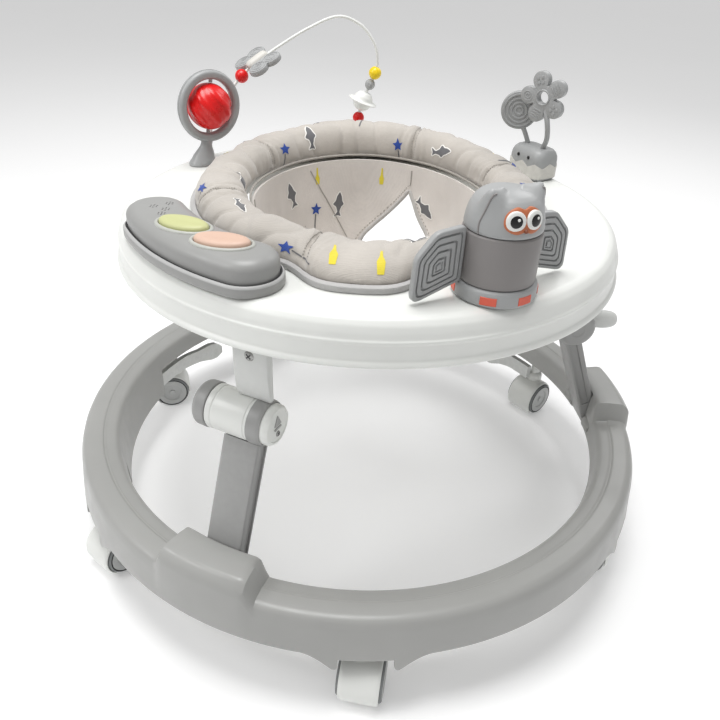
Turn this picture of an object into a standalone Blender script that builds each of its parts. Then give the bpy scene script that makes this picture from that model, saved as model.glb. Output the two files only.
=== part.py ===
"""Round baby walker, in metres, +Z up, origin on the floor under the ring's centre.

A floor ring on six twin-wheel swivel casters carries three folding legs, 120 degrees
apart. They hold a round tray with a padded seat ring, a cloth seat and toys round its
rim. The child faces +Y. Azimuths are in degrees from +X, counted towards +Y.
"""

import math

import bmesh
import bpy
from mathutils import Matrix, Vector

# ------------------------------------------------------------------ driving dimensions
GAP = 0.0003                       # between pieces that touch

RING_OUTER = 0.340                 # floor ring, radius at the foot of its outer wall
RING_TOP = 0.116                   # its upper face above the floor
RING_WALL_FOOT = 0.072             # lower edge of the outer wall
RING_LIP_FOOT = 0.088              # lower edge of the inner wall
SKIRT_FOOT = 0.052                 # and of its deeper stretch
SKIRT_SPAN = (161.0, 199.0)        # where that is
BOSS_RISE = 0.022                  # leg sockets above the ring
BOSS_HALF = 7.6                    # half of a socket's flat top, degrees
BOSS_SLOPE = 2.0                   # its slanted end, degrees
SLOT_WIDTH = 0.0406                # leg slot in each socket
SLOT_INNER = 0.255
SLOT_OUTER = 0.3104
SLOT_LEAN = 0.383                  # the slot's outer wall leans in like the leg

LEG_AZIMUTHS = {"a": 2.5, "b": 122.5, "c": 242.5}
FOOT_PIVOT = (0.298, 0.096)        # (radius, height) of the leg's three pivots
KNEE_PIVOT = (0.240, 0.2475)
TRAY_PIVOT = (0.240, 0.340)
LEG_WIDTH = 0.038
LEG_DEPTH = 0.020
KNEE_RADIUS = 0.0215
KNEE_SPAN = (-0.0520, -0.0362, 0.0082, 0.0225, 0.0305)   # cap, barrel, collar, button ends
BRACKET_WIDTH = 0.036
BRACKET_SHIFT = 0.006              # the bracket's middle along the knee
BRACKET_DEPTH = 0.010
KNOB_SHIFT = -0.0240               # the latch knob stands clear of the folding bracket

CASTER_AZIMUTHS = (30.0, 90.0, 150.0, 210.0, 270.0, 330.0)
CASTER_SWIVELS = (190.0, -12.0, 45.0, 20.0, -12.0, 180.0)  # how each stands, from outwards
SWIVEL_RADIUS = 0.315              # casters' swivel axes from the ring's centre
CASTER_TRAIL = 0.006
WHEEL_RADIUS = 0.0235
WHEEL_HALF_WIDTH = 0.0225
HOOD_RADIUS = 0.0270
HOOD_HALF_WIDTH = 0.0150

TRAY_RADIUS = 0.2635               # tray, at its lower lip
TRAY_LIP = 0.335
TRAY_TOP = 0.376
TRAY_HOLE = 0.150

SEAT_OUTER = 0.187                 # padded ring on the tray
SEAT_INNER = 0.128
SEAT_HEIGHT = 0.036
SLING_BOTTOM = 0.197
SLING_WALL = 0.003

PANEL_AZIMUTH = -136.5             # music panel: a bean along the tray's rim
PANEL_RADIUS = 0.2255
PANEL_HALF_WIDTH = 0.032
PANEL_HALF_SPAN = 17.5             # of its centre line, degrees
LIME_AZIMUTH = -138.2
PEACH_AZIMUTH = -125.3
BUTTON_RADIUS_ON_TRAY = 0.225
BUTTON_TURN = 22.0                 # their long axes are turned from the rim, degrees
BUTTON_HALF = (0.0245, 0.0135)
BUTTON_TRAVEL = 0.002

RATTLE_AZIMUTH = 146.0             # ring with a turning ball
RATTLE_RADIUS = 0.225
RATTLE_HEIGHT = 0.441
RATTLE_FACING = -50.0

OWL_AZIMUTH = -64.4
OWL_RADIUS = 0.2232
OWL_WINGS = 2.0                    # the wings are turned from the face, degrees

SPROUT_AZIMUTH = 30.0              # eggshell block with a flower and a disc
SPROUT_RADIUS = 0.233

# Wire over the rear rim: azimuth, radius and height of the points of its route.
ARCH_ROUTE = ((144.0, 0.247, TRAY_TOP), (141.0, 0.243, 0.412), (136.5, 0.236, 0.445),
              (131.0, 0.230, 0.469), (127.0, 0.228, 0.480), (119.0, 0.228, 0.497),
              (109.0, 0.228, 0.517), (100.0, 0.228, 0.530), (93.0, 0.228, 0.522),
              (88.5, 0.228, 0.503), (87.0, 0.228, 0.484), (87.5, 0.228, 0.466),
              (89.5, 0.228, 0.447), (91.5, 0.228, 0.426), (92.5, 0.228, 0.404),
              (93.0, 0.228, TRAY_TOP))
WIRE_RADIUS = 0.0018
BEAD_BORE = 0.0030


# ------------------------------------------------------------------ small helpers
def clear_scene():
    """Remove every object, so that the part stands alone."""
    for obj in list(bpy.data.objects):
        bpy.data.objects.remove(obj, do_unlink=True)


def material(name, colour, roughness, metallic=0.0):
    """A plain Principled material; colour is sRGB, 0 to 1."""
    found = bpy.data.materials.get(name)
    if found:
        return found
    made = bpy.data.materials.new(name)
    made.use_nodes = True
    shader = made.node_tree.nodes["Principled BSDF"]
    linear = [c / 12.92 if c < 0.04045 else ((c + 0.055) / 1.055) ** 2.4 for c in colour]
    shader.inputs["Base Color"].default_value = (*linear, 1.0)
    shader.inputs["Roughness"].default_value = roughness
    shader.inputs["Metallic"].default_value = metallic
    made.diffuse_color = (*linear, 1.0)
    return made


def ring_plastic():
    return material("ring_plastic", (0.62, 0.62, 0.61), 0.38)


def leg_plastic():
    return material("leg_plastic", (0.60, 0.60, 0.60), 0.42)


def toy_grey():
    return material("toy_grey", (0.60, 0.60, 0.61), 0.45)


def dark_grey():
    return material("dark_grey", (0.50, 0.49, 0.49), 0.45)


def white_plastic():
    return material("white_plastic", (0.93, 0.93, 0.92), 0.35)


def bracket_plastic():
    return material("bracket_plastic", (0.80, 0.81, 0.81), 0.4)


def tyre_rubber():
    return material("tyre_rubber", (0.35, 0.36, 0.36), 0.7)


def seat_cloth():
    return material("seat_cloth", (0.85, 0.82, 0.80), 0.9)


def red_plastic():
    return material("red_plastic", (0.80, 0.10, 0.10), 0.35)


def yellow_plastic():
    return material("yellow_plastic", (0.95, 0.83, 0.10), 0.35)


def lime_plastic():
    return material("lime_plastic", (0.82, 0.84, 0.60), 0.5)


def peach_plastic():
    return material("peach_plastic", (0.91, 0.78, 0.71), 0.5)


def polar(radius, azimuth, height=0.0):
    """The point at this radius and azimuth."""
    angle = math.radians(azimuth)
    return Vector((radius * math.cos(angle), radius * math.sin(angle), height))


def turn(azimuth):
    return Matrix.Rotation(math.radians(azimuth), 4, "Z")


def empty(name, matrix):
    """A joint's empty; the pieces that move with the joint are its children."""
    obj = bpy.data.objects.new(name, None)
    obj.empty_display_size = 0.02
    bpy.context.scene.collection.objects.link(obj)
    obj.matrix_world = matrix
    return obj


def add_object(name, mesh, mat, matrix=None, parent=None, smooth=35.0):
    """Link a mesh as an object; matrix is its place under its parent."""
    obj = bpy.data.objects.new(name, mesh)
    bpy.context.scene.collection.objects.link(obj)
    if not mesh.materials:
        mesh.materials.append(mat)
    if parent is not None:
        obj.parent = parent
    if matrix is not None:
        obj.matrix_local = matrix
    mesh.shade_smooth()
    mesh.set_sharp_from_angle(angle=math.radians(smooth))
    return obj


def finish_mesh(bm, name):
    """Turn the faces outwards and write the mesh."""
    bmesh.ops.recalc_face_normals(bm, faces=bm.faces)
    mesh = bpy.data.meshes.new(name)
    bm.to_mesh(mesh)
    bm.free()
    return mesh


def join_loops(bm, lower, upper):
    """Quads, or a fan where one loop is a single point, between two closed loops."""
    count = max(len(lower), len(upper))
    for i in range(count):
        j = (i + 1) % count
        if len(lower) == 1:
            bm.faces.new((lower[0], upper[i], upper[j]))
        elif len(upper) == 1:
            bm.faces.new((lower[i], lower[j], upper[0]))
        else:
            bm.faces.new((lower[i], lower[j], upper[j], upper[i]))


def lathe(name, profile, steps, closed=False):
    """Turn (radius, height) points about Z. A closed profile makes a ring."""
    bm = bmesh.new()
    loops = []
    for radius, height in profile:
        if radius <= 1e-9:
            loops.append([bm.verts.new((0.0, 0.0, height))])
            continue
        loops.append([bm.verts.new((radius * math.cos(t), radius * math.sin(t), height))
                      for t in (2 * math.pi * i / steps for i in range(steps))])
    pairs = list(zip(loops, loops[1:]))
    if closed:
        pairs.append((loops[-1], loops[0]))
    for lower, upper in pairs:
        if len(lower) > 1 or len(upper) > 1:
            join_loops(bm, lower, upper)
    if not closed:
        for end in (loops[0], loops[-1]):
            if len(end) > 1:
                bm.faces.new(end)
    return finish_mesh(bm, name)


def loft(name, layers):
    """A solid through closed outlines of (x, y, z) points, capped at both ends."""
    bm = bmesh.new()
    loops = [[bm.verts.new(point) for point in layer] for layer in layers]
    for lower, upper in zip(loops, loops[1:]):
        join_loops(bm, lower, upper)
    for end in (loops[0], loops[-1]):
        if len(end) > 1:
            bm.faces.new(end)
    return finish_mesh(bm, name)


def slab(name, outline, thickness, bevel=0.0):
    """An outline in XY made solid about Z = 0, with its rims eased."""
    half = thickness / 2
    if not bevel:
        return loft(name, [[(x, y, z) for x, y in outline] for z in (-half, half)])
    inner = inset(outline, bevel)
    return loft(name, [[(x, y, -half) for x, y in inner],
                       [(x, y, bevel - half) for x, y in outline],
                       [(x, y, half - bevel) for x, y in outline],
                       [(x, y, half) for x, y in inner]])


def inset(outline, distance):
    """The outline drawn in by a distance along its corners' bisectors."""
    count = len(outline)
    area = sum(outline[i - 1][0] * outline[i][1] - outline[i][0] * outline[i - 1][1]
               for i in range(count))
    side = 1.0 if area > 0 else -1.0
    result = []
    for i in range(count):
        here = Vector(outline[i])
        before = (here - Vector(outline[i - 1])).normalized()
        after = (Vector(outline[(i + 1) % count]) - here).normalized()
        along = (before + after).normalized()
        result.append((here.x - side * along.y * distance, here.y + side * along.x * distance))
    return result


def rounded_box(width, depth, radius, corner_steps=3):
    """A rectangle about the origin with round corners."""
    points = []
    for quarter in range(4):
        sign_x = 1 if quarter in (0, 3) else -1
        sign_y = 1 if quarter < 2 else -1
        for i in range(corner_steps + 1):
            angle = math.pi / 2 * (quarter + i / corner_steps)
            points.append((sign_x * (width / 2 - radius) + radius * math.cos(angle),
                           sign_y * (depth / 2 - radius) + radius * math.sin(angle)))
    return points


def ellipse(half_x, half_y, steps):
    return [(half_x * math.cos(2 * math.pi * i / steps),
             half_y * math.sin(2 * math.pi * i / steps)) for i in range(steps)]


def petals(centres, petal_radius, core_radius, steps):
    """A star-shaped outline round a core and petals, whose centres are (angle, distance)."""
    outline = []
    for i in range(steps):
        angle = 360.0 * i / steps
        reach = core_radius
        for petal_angle, distance in centres:
            off = math.radians(angle - petal_angle)
            inside = petal_radius ** 2 - (distance * math.sin(off)) ** 2
            if inside > 0 and math.cos(off) > 0:
                reach = max(reach, distance * math.cos(off) + math.sqrt(inside))
        outline.append((reach * math.cos(math.radians(angle)),
                        reach * math.sin(math.radians(angle))))
    return outline


def smooth_path(points, per_span):
    """A Catmull-Rom curve through the points."""
    points = [Vector(p) for p in points]
    result = []
    for i in range(len(points) - 1):
        p1, p2 = points[i], points[i + 1]
        p0 = points[i - 1] if i else p1 * 2 - p2
        p3 = points[i + 2] if i + 2 < len(points) else p2 * 2 - p1
        for step in range(per_span):
            t = step / per_span
            result.append(0.5 * (2 * p1 + (p2 - p0) * t
                                 + (2 * p0 - 5 * p1 + 4 * p2 - p3) * t * t
                                 + (3 * p1 - p0 - 3 * p2 + p3) * t ** 3))
    result.append(points[-1])
    return result


def rod(name, path, radius, sides):
    """A round rod along a path, with flat ends."""
    bm = bmesh.new()
    loops = []
    normal = None
    for i, point in enumerate(path):
        along = (path[min(i + 1, len(path) - 1)] - path[max(i - 1, 0)]).normalized()
        if normal is None:
            normal = along.orthogonal().normalized()
        normal = (normal - along * normal.dot(along)).normalized()
        across = along.cross(normal)
        loops.append([bm.verts.new(point + radius * (normal * math.cos(a) + across * math.sin(a)))
                      for a in (2 * math.pi * k / sides for k in range(sides))])
    for lower, upper in zip(loops, loops[1:]):
        join_loops(bm, lower, upper)
    bm.faces.new(loops[0])
    bm.faces.new(loops[-1])
    return finish_mesh(bm, name)


def ball(name, radius, bore=0.0, steps=14, rows=7):
    """A ball, or a bead with a bore along Z."""
    start = math.asin(min(bore / radius, 1.0)) if bore else 0.0
    profile = [(radius * math.sin(start + (math.pi - 2 * start) * i / rows),
                radius * math.cos(start + (math.pi - 2 * start) * i / rows))
               for i in range(rows + 1)]
    return lathe(name, profile, steps, closed=bool(bore))


def cut(obj, mesh, matrix, operation="DIFFERENCE"):
    """Subtract a hidden cutter from an object, or join a hidden piece to it."""
    cutter = bpy.data.objects.new(mesh.name, mesh)
    bpy.context.scene.collection.objects.link(cutter)
    bpy.context.view_layer.update()
    cutter.matrix_world = matrix
    cutter.hide_render = True
    cutter.display_type = "WIRE"
    modifier = obj.modifiers.new(mesh.name, "BOOLEAN")
    modifier.operation = operation
    modifier.object = cutter


def box_mesh(name, low, high):
    corners = [(low[0], low[1]), (high[0], low[1]), (high[0], high[1]), (low[0], high[1])]
    return loft(name, [[(x, y, z) for x, y in corners] for z in (low[2], high[2])])


# ------------------------------------------------------------------ floor ring
def away(azimuth, centres):
    """Degrees from the nearest of these azimuths."""
    return min(abs((azimuth - c + 180.0) % 360.0 - 180.0) for c in centres)


def ring_azimuths():
    """Where the ring's sections stand: closer together at sockets and wheel arches."""
    found = {round(7.5 * i, 3) for i in range(48)}
    for leg in LEG_AZIMUTHS.values():
        for offset in (BOSS_HALF, BOSS_HALF + BOSS_SLOPE):
            found |= {round((leg + s * offset) % 360.0, 3) for s in (-1, 1)}
    for caster in CASTER_AZIMUTHS:
        for offset in (4.7, 5.2, 6.6, 10.4):
            found |= {round((caster + s * offset) % 360.0, 3) for s in (-1, 1)}
    return sorted(found)


def ring_section(azimuth):
    """The ring's shell, an upturned channel, as (radius, height) points."""
    rise = BOSS_HALF + BOSS_SLOPE - away(azimuth, LEG_AZIMUTHS.values())
    rise = BOSS_RISE * min(max(rise / BOSS_SLOPE, 0.0), 1.0)
    off = away(azimuth, CASTER_AZIMUTHS)
    foot = RING_WALL_FOOT
    if off < 5.0:
        foot = RING_WALL_FOOT - 0.004
    elif off < 10.4:
        foot = RING_WALL_FOOT - 0.0195 * (1 - (off - 5.2) / 5.2) ** 1.6
    lip = SKIRT_FOOT if SKIRT_SPAN[0] < azimuth < SKIRT_SPAN[1] else RING_LIP_FOOT
    lean_in = 0.0045 * (RING_TOP - lip) / (RING_TOP - SKIRT_FOOT)
    top = RING_TOP + rise
    groove = 0.0 if rise else 0.0020
    return [(RING_OUTER, foot), (RING_OUTER - 0.0045, top - 0.010),
            (RING_OUTER - 0.0075, top - 0.0035), (RING_OUTER - 0.013, top - 0.0005),
            (0.3095, top), (0.3075, top - groove), (0.2970, top - groove - 0.0010),
            (0.2935, top - 0.0065), (0.2915, RING_TOP - 0.018), (0.2915 - lean_in, lip),
            (0.2950 - lean_in, lip), (0.2950, RING_TOP - 0.018), (0.2970, RING_TOP - 0.0095),
            (0.3000, RING_TOP - 0.0065), (RING_OUTER - 0.015, RING_TOP - 0.0045),
            (RING_OUTER - 0.0085, RING_TOP - 0.0115), (RING_OUTER - 0.0035, foot)]


def base_ring():
    """The floor ring, with its three leg sockets and their slots."""
    bm = bmesh.new()
    loops = []
    for azimuth in ring_azimuths():
        loops.append([bm.verts.new(polar(r, azimuth, z)) for r, z in ring_section(azimuth)])
    for i, loop in enumerate(loops):
        join_loops(bm, loop, loops[(i + 1) % len(loops)])
    ring = add_object("base_ring", finish_mesh(bm, "base_ring"), ring_plastic())
    for key, azimuth in LEG_AZIMUTHS.items():
        half = SLOT_WIDTH / 2
        layers = []
        for height in (0.040, FOOT_PIVOT[1], 0.160):
            outer = SLOT_OUTER - SLOT_LEAN * max(height - FOOT_PIVOT[1], 0.0)
            layers.append([(SLOT_INNER, -half, height), (outer, -half, height),
                           (outer, half, height), (SLOT_INNER, half, height)])
        cut(ring, loft("slot_" + key, layers), turn(azimuth))


def stop_arm(key, start, stop):
    """A low curved bar with a round end beside a rear caster, hung inside the ring."""
    steps = 12
    layers = []
    for i in range(steps + 1):
        t = i / steps
        azimuth = start + (stop - start) * t
        middle = 0.0640 - 0.0100 * max(t - 0.45, 0.0) / 0.55
        half = 0.0098
        if t > 0.7:
            half = 0.0098 + 0.0036 * math.sin(math.pi * (t - 0.7) / 0.3)
        if i == steps:
            half = 0.0055
        inner = polar(0.2975, azimuth)
        outer = polar(0.3045, azimuth)
        layers.append([(inner.x, inner.y, middle - half), (outer.x, outer.y, middle - half),
                       (outer.x, outer.y, middle + half), (inner.x, inner.y, middle + half)])
    add_object("stop_arm_" + key, loft("stop_arm_" + key, layers), ring_plastic())


# ------------------------------------------------------------------ casters
def hood_outline():
    """Side of a caster's hood: an arc over the wheel, open round the axle."""
    steps = 14
    outer = [(HOOD_RADIUS, math.radians(-48 + 236 * i / steps)) for i in range(steps + 1)]
    inner = [(0.0048, angle) for _, angle in reversed(outer[::2])]
    return [(r * math.cos(a), r * math.sin(a)) for r, a in outer + inner]


def wheel_profile():
    """Two wheels on one axle, as (radius, place along the axle)."""
    half = [(0.0, WHEEL_HALF_WIDTH - 0.0008), (0.0150, WHEEL_HALF_WIDTH),
            (0.0218, WHEEL_HALF_WIDTH), (WHEEL_RADIUS, WHEEL_HALF_WIDTH - 0.0018),
            (WHEEL_RADIUS, HOOD_HALF_WIDTH + 0.0016), (0.0220, HOOD_HALF_WIDTH + GAP),
            (0.0044, HOOD_HALF_WIDTH + GAP)]
    return half + [(r, -y) for r, y in reversed(half)]


def caster(index, azimuth, swivel):
    """A swivelling twin-wheel caster; its swivel is vertical, its axle tangential."""
    stand = turn(azimuth) @ Matrix.Translation((SWIVEL_RADIUS, 0, 0)) @ turn(swivel)
    pivot = empty(f"swivel_{index}", stand)
    axle_place = Matrix.Translation((CASTER_TRAIL, 0, WHEEL_RADIUS))
    lay = Matrix.Rotation(math.pi / 2, 4, "X")
    if "caster_hood" not in bpy.data.meshes:
        slab("caster_hood", hood_outline(), 2 * HOOD_HALF_WIDTH, 0.0)
        lathe("caster_wheel", wheel_profile(), 16)
        stem = [(0.0, 0.0400), (0.009, 0.0400), (0.009, 0.060), (0.0065, 0.062),
                (0.0065, RING_TOP - 0.006), (0.0, RING_TOP - 0.006)]
        lathe("caster_stem", stem, 12)
    hood = add_object(f"caster_hood_{index}", bpy.data.meshes["caster_hood"], white_plastic(),
                      axle_place @ lay, pivot)
    cut(hood, bpy.data.meshes["caster_stem"], pivot.matrix_world, "UNION")
    axle = empty(f"axle_{index}", Matrix())
    axle.parent = pivot
    axle.matrix_local = axle_place
    add_object(f"caster_wheel_{index}", bpy.data.meshes["caster_wheel"], tyre_rubber(),
               lay, axle)


# ------------------------------------------------------------------ folding legs
def lean(lower, upper):
    """Angle by which the line between two pivots leans inwards, and its length."""
    out = lower[0] - upper[0]
    rise = upper[1] - lower[1]
    return math.atan2(out, rise), math.hypot(out, rise)


def link_side(length, start, depth, round_start):
    """Side outline of a link along its length, with a round end at the pivot."""
    half = depth / 2
    points = []
    for i in range(7):
        angle = math.pi * i / 6
        points.append((half * math.cos(angle), start - half * math.sin(angle) * round_start))
    return points + [(-half, length), (half, length)]


def leg(key, azimuth):
    """Lower leg, knee barrel with its caps and lock button, and upper bracket."""
    lower_angle, lower_length = lean(FOOT_PIVOT, KNEE_PIVOT)
    upper_angle, upper_length = lean(KNEE_PIVOT, TRAY_PIVOT)
    radial = turn(azimuth)
    foot = empty("foot_joint_" + key, radial @ Matrix.Translation((FOOT_PIVOT[0], 0, FOOT_PIVOT[1])))
    knee = empty("knee_joint_" + key, radial @ Matrix.Translation((KNEE_PIVOT[0], 0, KNEE_PIVOT[1])))
    along = Matrix.Rotation(-lower_angle, 4, "Y")
    stand = Matrix.Rotation(math.pi / 2, 4, "X")
    side = link_side(lower_length - KNEE_RADIUS - 0.0012, 0.0, LEG_DEPTH, 1.0)
    add_object("lower_leg_" + key, slab("lower_leg_" + key, side, LEG_WIDTH, 0.0025),
               leg_plastic(), along @ stand, foot)
    start = KNEE_RADIUS + 0.0012
    side = [(-BRACKET_DEPTH / 2, start), (BRACKET_DEPTH / 2, start),
            (BRACKET_DEPTH / 2, start + 0.012)]
    for i in range(7):
        angle = math.pi * i / 6
        side.append((BRACKET_DEPTH / 2 * math.cos(angle),
                     upper_length + BRACKET_DEPTH / 2 * math.sin(angle)))
    side.append((-BRACKET_DEPTH / 2, start + 0.012))
    place = Matrix.Rotation(-upper_angle, 4, "Y") @ Matrix.Translation((0, BRACKET_SHIFT, 0))
    add_object("upper_bracket_" + key, slab("upper_bracket_" + key, side, BRACKET_WIDTH, 0.002),
               bracket_plastic(), place @ stand, knee)
    knee_barrel(key, azimuth, foot, knee)
    tray_lug(key, radial)


def knee_barrel(key, azimuth, foot, knee):
    """The barrel turns with the bracket, its caps and lock button with the lower leg."""
    lay = Matrix.Rotation(-math.pi / 2, 4, "X")
    r = KNEE_RADIUS
    cap_end, barrel_start, barrel_end, collar_end, button_end = KNEE_SPAN
    barrel = [(0.0, barrel_start), (r - 0.001, barrel_start), (r, barrel_start + 0.0008),
              (r, barrel_end - 0.0008), (r - 0.001, barrel_end), (0.0, barrel_end)]
    add_object("knee_barrel_" + key, lathe("knee_barrel_" + key, barrel, 20),
               white_plastic(), lay, knee)
    place = turn(azimuth) @ Matrix.Translation((KNEE_PIVOT[0], 0, KNEE_PIVOT[1])) @ lay
    place = foot.matrix_world.inverted() @ place
    inner = barrel_start - GAP
    cap = [(0.0, cap_end), (r - 0.006, cap_end), (r - 0.002, cap_end + 0.0015),
           (r + 0.0004, cap_end + 0.0045), (r + 0.0008, inner - 0.0007), (r, inner), (0.0, inner)]
    add_object("knee_cap_" + key, lathe("knee_cap_" + key, cap, 20), leg_plastic(), place, foot)
    inner = barrel_end + GAP
    floor = inner + 0.0045
    collar = [(0.0, inner), (r, inner), (r + 0.0008, inner + 0.0007),
              (r + 0.0004, collar_end - 0.003), (r - 0.0008, collar_end), (0.0200, collar_end),
              (0.0200, floor), (0.0, floor)]
    add_object("knee_collar_" + key, lathe("knee_collar_" + key, collar, 20),
               leg_plastic(), place, foot)
    button = [(0.0, floor + 0.004), (0.0196, floor + 0.004), (0.0196, button_end - 0.0030),
              (0.0178, button_end - 0.0006), (0.0, button_end)]
    add_object("knee_button_" + key, lathe("knee_button_" + key, button, 20),
               white_plastic(), place, foot)


def latch_knob():
    """A round-ended knob on the outside of leg a's knee."""
    azimuth = LEG_AZIMUTHS["a"]
    start = KNEE_PIVOT[0] + KNEE_RADIUS + 0.0012
    knob = [(0.0, start), (0.0085, start), (0.0095, start + 0.003), (0.0105, start + 0.018),
            (0.0096, start + 0.026), (0.0070, start + 0.031), (0.0, start + 0.033)]
    place = turn(azimuth) @ Matrix.Translation((0, KNOB_SHIFT, KNEE_PIVOT[1])) @ Matrix.Rotation(
        math.pi / 2, 4, "Y")
    foot = bpy.data.objects["foot_joint_a"]
    add_object("latch_knob", lathe("latch_knob", knob, 18), bracket_plastic(),
               foot.matrix_world.inverted() @ place, foot)


def tray_lug(key, radial):
    """A forked lug under the tray that holds the bracket's upper end."""
    inner = BRACKET_WIDTH / 2 + 0.0012
    outer = inner + 0.005
    roof = TRAY_TOP - 0.004 - GAP
    low = TRAY_PIVOT[1] - 0.008
    arch = [(-outer, low), (-inner, low), (-inner, roof - 0.010), (inner, roof - 0.010),
            (inner, low), (outer, low), (outer, roof), (-outer, roof)]
    layers = [[(TRAY_PIVOT[0] + x, y + BRACKET_SHIFT, z) for y, z in arch]
              for x in (-0.010, 0.004)]
    add_object("tray_lug_" + key, loft("tray_lug_" + key, layers), white_plastic(), radial)


# ------------------------------------------------------------------ tray and seat
def tray():
    """The round tray: a shell with a rounded rim, a lower lip and the seat's hole."""
    r = TRAY_RADIUS
    top = TRAY_TOP
    profile = [(r, TRAY_LIP), (r + 0.0012, TRAY_LIP + 0.002), (r, TRAY_LIP + 0.0045),
               (r - 0.0020, TRAY_LIP + 0.014), (r - 0.0040, top - 0.012),
               (r - 0.0065, top - 0.006), (r - 0.0105, top - 0.0020), (r - 0.016, top),
               (SEAT_OUTER + 0.008, top), (SEAT_OUTER + 0.0065, top - 0.0005),
               (TRAY_HOLE + 0.003, top - 0.0005), (TRAY_HOLE, top - 0.002), (TRAY_HOLE, top - 0.016),
               (TRAY_HOLE + 0.003, top - 0.016), (TRAY_HOLE + 0.003, top - 0.004),
               (r - 0.017, top - 0.004), (r - 0.0105, top - 0.008), (r - 0.0070, top - 0.014),
               (r - 0.0040, TRAY_LIP)]
    add_object("tray", lathe("tray", profile, 72, closed=True), white_plastic())


def seat_ring():
    """The padded ring round the seat's opening, lying on the tray."""
    middle = (SEAT_OUTER + SEAT_INNER) / 2
    half = (SEAT_OUTER - SEAT_INNER) / 2
    foot = TRAY_TOP + GAP
    steps = 10
    profile = []
    for i in range(steps + 1):
        angle = math.pi * i / steps
        profile.append((middle + half * math.cos(angle),
                        foot + 0.004 + (SEAT_HEIGHT - 0.004) * math.sin(angle) ** 0.8))
    profile += [(middle - half + 0.003, foot), (middle + half - 0.003, foot)]
    add_object("seat_ring", lathe("seat_ring", profile, 48, closed=True), seat_cloth())


def leg_hole(name, azimuth, apex, foot, half_width):
    """A three-sided cutter through the seat's wall, point up."""
    outline = [(-half_width, foot), (0.0, foot - 0.012), (half_width, foot),
               (half_width * 0.8, foot + (apex - foot) * 0.45), (0.004, apex),
               (-0.004, apex), (-half_width * 0.8, foot + (apex - foot) * 0.45)]
    layers = [[(x, y, z) for y, z in outline] for x in (0.020, 0.180)]
    return loft(name, layers), turn(azimuth)


def seat_sling():
    """The cloth seat under the ring, with an opening for each leg."""
    outer = [(0.1265, TRAY_TOP - GAP), (0.1240, 0.345), (0.1180, 0.305), (0.1060, 0.265),
             (0.0860, 0.232), (0.0560, 0.209), (0.0, SLING_BOTTOM)]
    inner = [(max(r - SLING_WALL, 0.0), z + (SLING_WALL if r < 0.09 else 0.001)) for r, z in outer]
    inner[0] = (inner[0][0], TRAY_TOP - GAP)
    sling = add_object("seat_sling", lathe("seat_sling", outer + inner[::-1], 36, closed=True),
                       seat_cloth())
    cut(sling, *leg_hole("leg_hole_right", 60.0, 0.340, 0.240, 0.046))
    cut(sling, *leg_hole("leg_hole_left", 128.0, 0.305, 0.238, 0.040))


# ------------------------------------------------------------------ music panel
def bean(half_width, height):
    """The panel's outline at a height: a stretch of ring with round ends."""
    points = []
    start = PANEL_AZIMUTH - PANEL_HALF_SPAN
    stop = PANEL_AZIMUTH + PANEL_HALF_SPAN
    for i in range(13):
        points.append(polar(PANEL_RADIUS + half_width, start + (stop - start) * i / 12, height))
    centre = polar(PANEL_RADIUS, stop, height)
    for i in range(1, 8):
        points.append(centre + polar(half_width, stop + 180.0 * i / 8))
    for i in range(13):
        points.append(polar(PANEL_RADIUS - half_width, stop + (start - stop) * i / 12, height))
    centre = polar(PANEL_RADIUS, start, height)
    for i in range(1, 8):
        points.append(centre + polar(half_width, start + 180.0 + 180.0 * i / 8))
    return points


def oval(half_x, half_y, radius, azimuth, height):
    """A button's oval on the tray."""
    place = turn(azimuth) @ Matrix.Translation((radius, 0, height)) @ turn(90.0 + BUTTON_TURN)
    return [place @ Vector((x, y, 0.0)) for x, y in ellipse(half_x, half_y, 28)]


def music_panel():
    """The sound panel: a skirt, a raised body and a pocket for each button."""
    w = PANEL_HALF_WIDTH
    z = TRAY_TOP + GAP
    layers = [bean(w, z), bean(w, z + 0.009), bean(w - 0.0025, z + 0.0105),
              bean(w - 0.0035, z + 0.020), bean(w - 0.0065, z + 0.025),
              bean(w - 0.0130, z + 0.0285)]
    panel = add_object("music_panel", loft("music_panel", layers), toy_grey())
    for name, azimuth in (("lime", LIME_AZIMUTH), ("peach", PEACH_AZIMUTH)):
        half_x, half_y = BUTTON_HALF[0] + 0.0004, BUTTON_HALF[1] + 0.0004
        pocket = loft("pocket_" + name, [oval(half_x, half_y, BUTTON_RADIUS_ON_TRAY, azimuth, h)
                                         for h in (z + 0.0215, z + 0.040)])
        cut(panel, pocket, Matrix())


def music_button(name, azimuth, mat):
    """An oval push button that stands proud of the panel."""
    z = TRAY_TOP + GAP + 0.0215 + BUTTON_TRAVEL + GAP
    half_x, half_y = BUTTON_HALF
    centre = polar(BUTTON_RADIUS_ON_TRAY, azimuth, z)
    layers = []
    for shrink, height in ((0.0, 0.0), (0.0, 0.0072), (0.0016, 0.0090), (0.0050, 0.0100)):
        ring = oval(half_x - shrink, half_y - shrink, BUTTON_RADIUS_ON_TRAY, azimuth, z + height)
        layers.append([point - centre for point in ring])
    add_object(f"button_{name}", loft(f"button_{name}", layers), mat,
               Matrix.Translation(centre))


# ------------------------------------------------------------------ ring rattle
def rattle_place():
    """The rattle's own frame: X across the ring, Y its normal, Z up."""
    centre = polar(RATTLE_RADIUS, RATTLE_AZIMUTH, RATTLE_HEIGHT)
    return Matrix.Translation(centre) @ turn(RATTLE_FACING + 90.0) @ Matrix.Rotation(
        math.radians(8.0), 4, "Y")


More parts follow.
